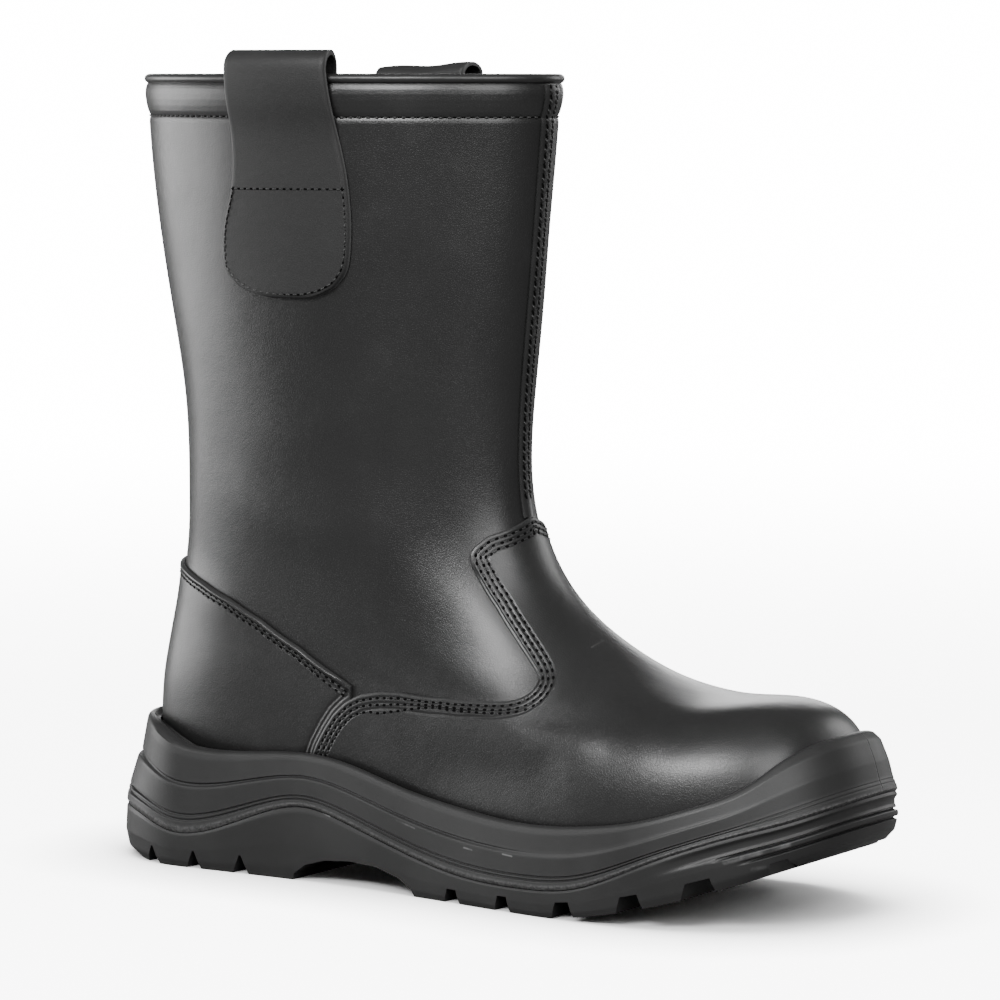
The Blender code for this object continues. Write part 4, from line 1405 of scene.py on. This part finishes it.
def make_camera():
    """The camera that sees the boot as the photo does."""
    turn = np.radians(CAMERA_ROUND)
    data = bpy.data.cameras.new("camera")
    camera = bpy.data.objects.new("camera", data)
    bpy.context.scene.collection.objects.link(camera)
    spot = np.array([np.sin(turn) * CAMERA_AWAY, -np.cos(turn) * CAMERA_AWAY, CAMERA_HEIGHT])
    camera.location = Vector((spot + SHIFT) * MM)
    look = Vector((-np.sin(turn), np.cos(turn), -CAMERA_DROP))
    camera.rotation_mode = "QUATERNION"
    camera.rotation_quaternion = look.to_track_quat("-Z", "Y")
    data.sensor_width = 36.0
    data.lens = CAMERA_LENS
    data.shift_x = CAMERA_SHIFT
    data.clip_start = 0.05
    data.clip_end = 50.0
    bpy.context.scene.camera = camera


# Area lights: name, place, width, height, power, and whether the boot mirrors them.
LIGHTS = (
    ("left_bank", -1.75, -0.40, 0.30, 1.4, 1.0, 28.0, True),
    ("front_box", 0.05, -1.32, 1.05, 0.8, 0.45, 31.0, True),
    ("back_wall", -1.10, 1.72, 0.52, 1.2, 0.5, 11.0, True),
    ("back_right_bank", 0.75, 2.10, 0.70, 1.0, 1.2, 12.0, True),
    ("right_box", 1.20, -0.75, 0.95, 1.0, 1.0, 20.0, True),
    ("overhead", 0.0, 0.0, 2.20, 1.8, 1.8, 85.0, False),
)
LIGHTS_FACE = (0.0, 0.0, 0.13)
# Strength of the sky as the camera sees it, and as the boot does.
SKY_SEEN = 16.0
SKY_LIT = 0.15
# The floor: where it fades out, its glow, its shade for the boot and the camera, and how far and
# how much its glow darkens near the sole, a painted contact shadow.
FLOOR_FADE = (0.4, 2.0)
FLOOR_GLOW = 6.0
FLOOR_SHADE = (0.12, 0.9)
PAINTED_SHADOW_REACH = 0.05
PAINTED_SHADOW_DARKNESS = 3.0


def make_studio():
    """Lamps, sky and floor; only the camera sees the sky and the floor white, with a painted
    contact shadow in the floor's glow near the sole.
    """
    world = bpy.data.worlds.new("studio")
    bpy.context.scene.world = world
    world.use_nodes = True
    tree = world.node_tree
    sky = tree.nodes["Background"]
    ray = tree.nodes.new("ShaderNodeLightPath")
    pick = tree.nodes.new("ShaderNodeMix")
    pick.inputs[2].default_value = SKY_LIT
    pick.inputs[3].default_value = SKY_SEEN
    tree.links.new(ray.outputs["Is Camera Ray"], pick.inputs[0])
    tree.links.new(pick.outputs[0], sky.inputs["Strength"])
    sky.inputs["Color"].default_value = (1, 1, 1, 1)
    target = Vector(LIGHTS_FACE)
    for name, x, y, z, wide, high, power, mirrored in LIGHTS:
        data = bpy.data.lights.new(name, "AREA")
        data.shape = "RECTANGLE"
        data.size = wide
        data.size_y = high
        data.energy = power
        lamp = bpy.data.objects.new(name, data)
        lamp.location = (x, y, z)
        lamp.visible_glossy = mirrored
        lamp.rotation_mode = "QUATERNION"
        lamp.rotation_quaternion = (target - lamp.location).to_track_quat("-Z", "Y")
        bpy.context.scene.collection.objects.link(lamp)
    mesh = bpy.data.meshes.new("floor")
    mesh.from_pydata([(-4, -4, 0), (4, -4, 0), (4, 4, 0), (-4, 4, 0)], [], [(0, 1, 2, 3)])
    floor = bpy.data.objects.new("floor", mesh)
    n = Nodes("floor_paper")
    n.dull(0.8)
    away = n.add("ShaderNodeVectorMath", {0: n.place}, operation="LENGTH").outputs["Value"]
    n.put(n.shader.inputs["Alpha"], n.spread(away, *FLOOR_FADE, 1.0, 0.0))
    n.shader.inputs["Emission Color"].default_value = (1, 1, 1, 1)
    seen = n.add("ShaderNodeLightPath").outputs["Is Camera Ray"]
    # Painted contact shadow: ambient occlusion dims the floor's glow close to the sole.
    painted_shadow_ao = n.add("ShaderNodeAmbientOcclusion", {"Distance": PAINTED_SHADOW_REACH}).outputs["AO"]
    lit = n.times(seen, n.math("POWER", painted_shadow_ao, PAINTED_SHADOW_DARKNESS))
    n.put(n.shader.inputs["Emission Strength"], n.times(lit, FLOOR_GLOW))
    n.colour(n.blend(seen, *(grey(shade) for shade in FLOOR_SHADE)))
    mesh.materials.append(n.material)
    bpy.context.scene.collection.objects.link(floor)


# Light scratches on the vamp and scuffs on the sole: start and end.
SCRATCHES = (
    ((49.1, -10.3, 89.6), (49.2, -2.0, 91.2)),
    ((42.5, -4.5, 96.5), (59.0, -0.7, 85.3)),
    ((70.0, -22.0, 74.5), (74.0, -17.0, 76.0)),
)
SCUFFS = (
    ((-12.0, -43.7, 26.7), (-3.7, -44.6, 24.7)),
    ((19.6, -47.8, 20.5), (23.3, -48.4, 20.1)),
    ((37.5, -50.3, 20.3), (41.7, -50.9, 20.0)),
    ((-45.6, -41.5, 26.1), (-42.5, -41.5, 25.0)),
)
# Painted highlights along the ridges where the toe's grooves begin.
PAINTED_RIB_HIGHLIGHTS = (
    ((123.8, -44.7, 24.9), (129.1, -42.3, 26.6)),
    ((129.1, -42.3, 26.6), (133.8, -39.0, 28.2)),
    ((133.8, -39.0, 28.2), (142.0, -32.5, 31.0)),
    ((131.9, -39.7, 22.6), (135.0, -37.0, 23.6)),
)
# The mould's parting line over the toe, a shallow groove with painted shade: its place across, and
# from where it runs, low and high.
PARTING_Y = 10.8
PARTING_FROM = (143.0, 45.5, 64.5)

VAMP_ROWS = (2.05, 4.0, 5.9)
COUNTER_ROWS = (2.2, 3.7)
LOOKS = {
    "leather": leather("quarter_leather", raw=None),
    "leather_fine": leather("trim_leather", rough=0.42, grain=0.7, raw=None),
    "vamp": leather("vamp_leather", stitch_rows=VAMP_ROWS, scratches=SCRATCHES),
    "counter": leather("counter_leather", stitch_rows=COUNTER_ROWS),
    "strap": leather("strap_leather", shade=0.007, rough=0.60, coat=0.0, raw=9.0),
    "rubber": rubber("tread_rubber"),
    "midsole": rubber("midsole_rubber", flash=True),
    "thread": thread_look("thread", shade=0.013),
    # Needle holes: near-black painted shade.
    "hole_shade": hole_shade_look("needle_hole_shade"),
    "textile": textile("lining_textile"),
}

make_camera()
make_studio()
make_upper()
make_lining()
make_footbed()
VAMP_LINE = panel_outline(WING + VAMP_TOP, FRONT, VAMP_CENTRE_Z, 4)
COUNTER_LINE = panel_outline([(x + WING_TUCK, z) for x, z in WING] + list(COUNTER_TOP[::-1]),
                             0.0, COUNTER_CENTRE_Z, 3)
panel("vamp_panel", VAMP_LINE, 150, 290, CUT_EDGE, "vamp", slot="vamp", look=LOOKS["vamp"],
      base_out=VAMP_OUT,
      other_edge=lambda spots: ease(76, 80, spots[:, 2]) * ease(118, 112, spots[:, 2]))
panel("counter_panel", COUNTER_LINE, 110, 170, ROLLED_EDGE, "heel_counter", slot="heel_counter",
      look=LOOKS["counter"], base_out=COUNTER_OUT,
      other_edge=lambda spots: ease(77, 73, spots[:, 2]) * (spots[:, 0] > -64))
make_midsole()
make_outsole()
make_bead()
make_loop("pull_strap_outer", 1, "pull_loop_outer")
make_loop("pull_strap_inner", -1, "pull_loop_inner")
make_seam("front_seam_strip", FRONT, 10.5, 15.96, 0.36, 1.0, "front_seam")
make_seam("back_seam_strip", 0.0, 8.34, 15.96, 0.26, 1.3, "back_seam")

# Rows of stitches. The counter's stop under the vamp's wing, below a height.
WING_HEIGHT = 72
for name, slot, line, inward, rows_in, leather_out, lowest in (
        ("vamp_stitch", "vamp", VAMP_LINE, -1, VAMP_ROWS, VAMP_OUT, -1),
        ("counter_stitch", "heel_counter", COUNTER_LINE, 1, COUNTER_ROWS, COUNTER_OUT,
         WING_HEIGHT)):
    shown = surface(line[:, 0], line[:, 1])[:, 2] > lowest
    sewn(name, [(moved_in(line, inward * distance)[shown], leather_out) for distance in rows_in],
         slot, pitch=3.2, hole_shade=(0.85, 0.52), length=2.2, thick=0.22, proud=0.15)
groove = [np.stack([np.full(49, GROOVE_ROW), np.linspace(start, end, 49)], 1)
          for start, end in ((0.3, 11.6), (12.4, 23.7))]
sewn("collar_stitch", [(line, 0.1) for line in groove], "upper", pitch=3.3, hole_shade=(0.95, 0.5),
     length=2.0, thick=0.36, proud=0.3)
crown = [np.stack([np.linspace(10.8, 15.93, 40), np.full(40, FRONT + off)], 1)
         for off in (-0.17, 0.11)]
sewn("front_stitch", [(line, 1.28) for line in crown], "front_seam", pitch=3.5, hole_shade=(1.15, 0.5),
     lean=28.0, length=2.2, thick=0.34, proud=0.25)
sewn("strap_stitch", strap_rows(1) + strap_rows(-1), "pull_loop_outer", pitch=2.9,
     hole_shade=(0.85, 0.4), length=2.0, thick=0.3, proud=0.15)
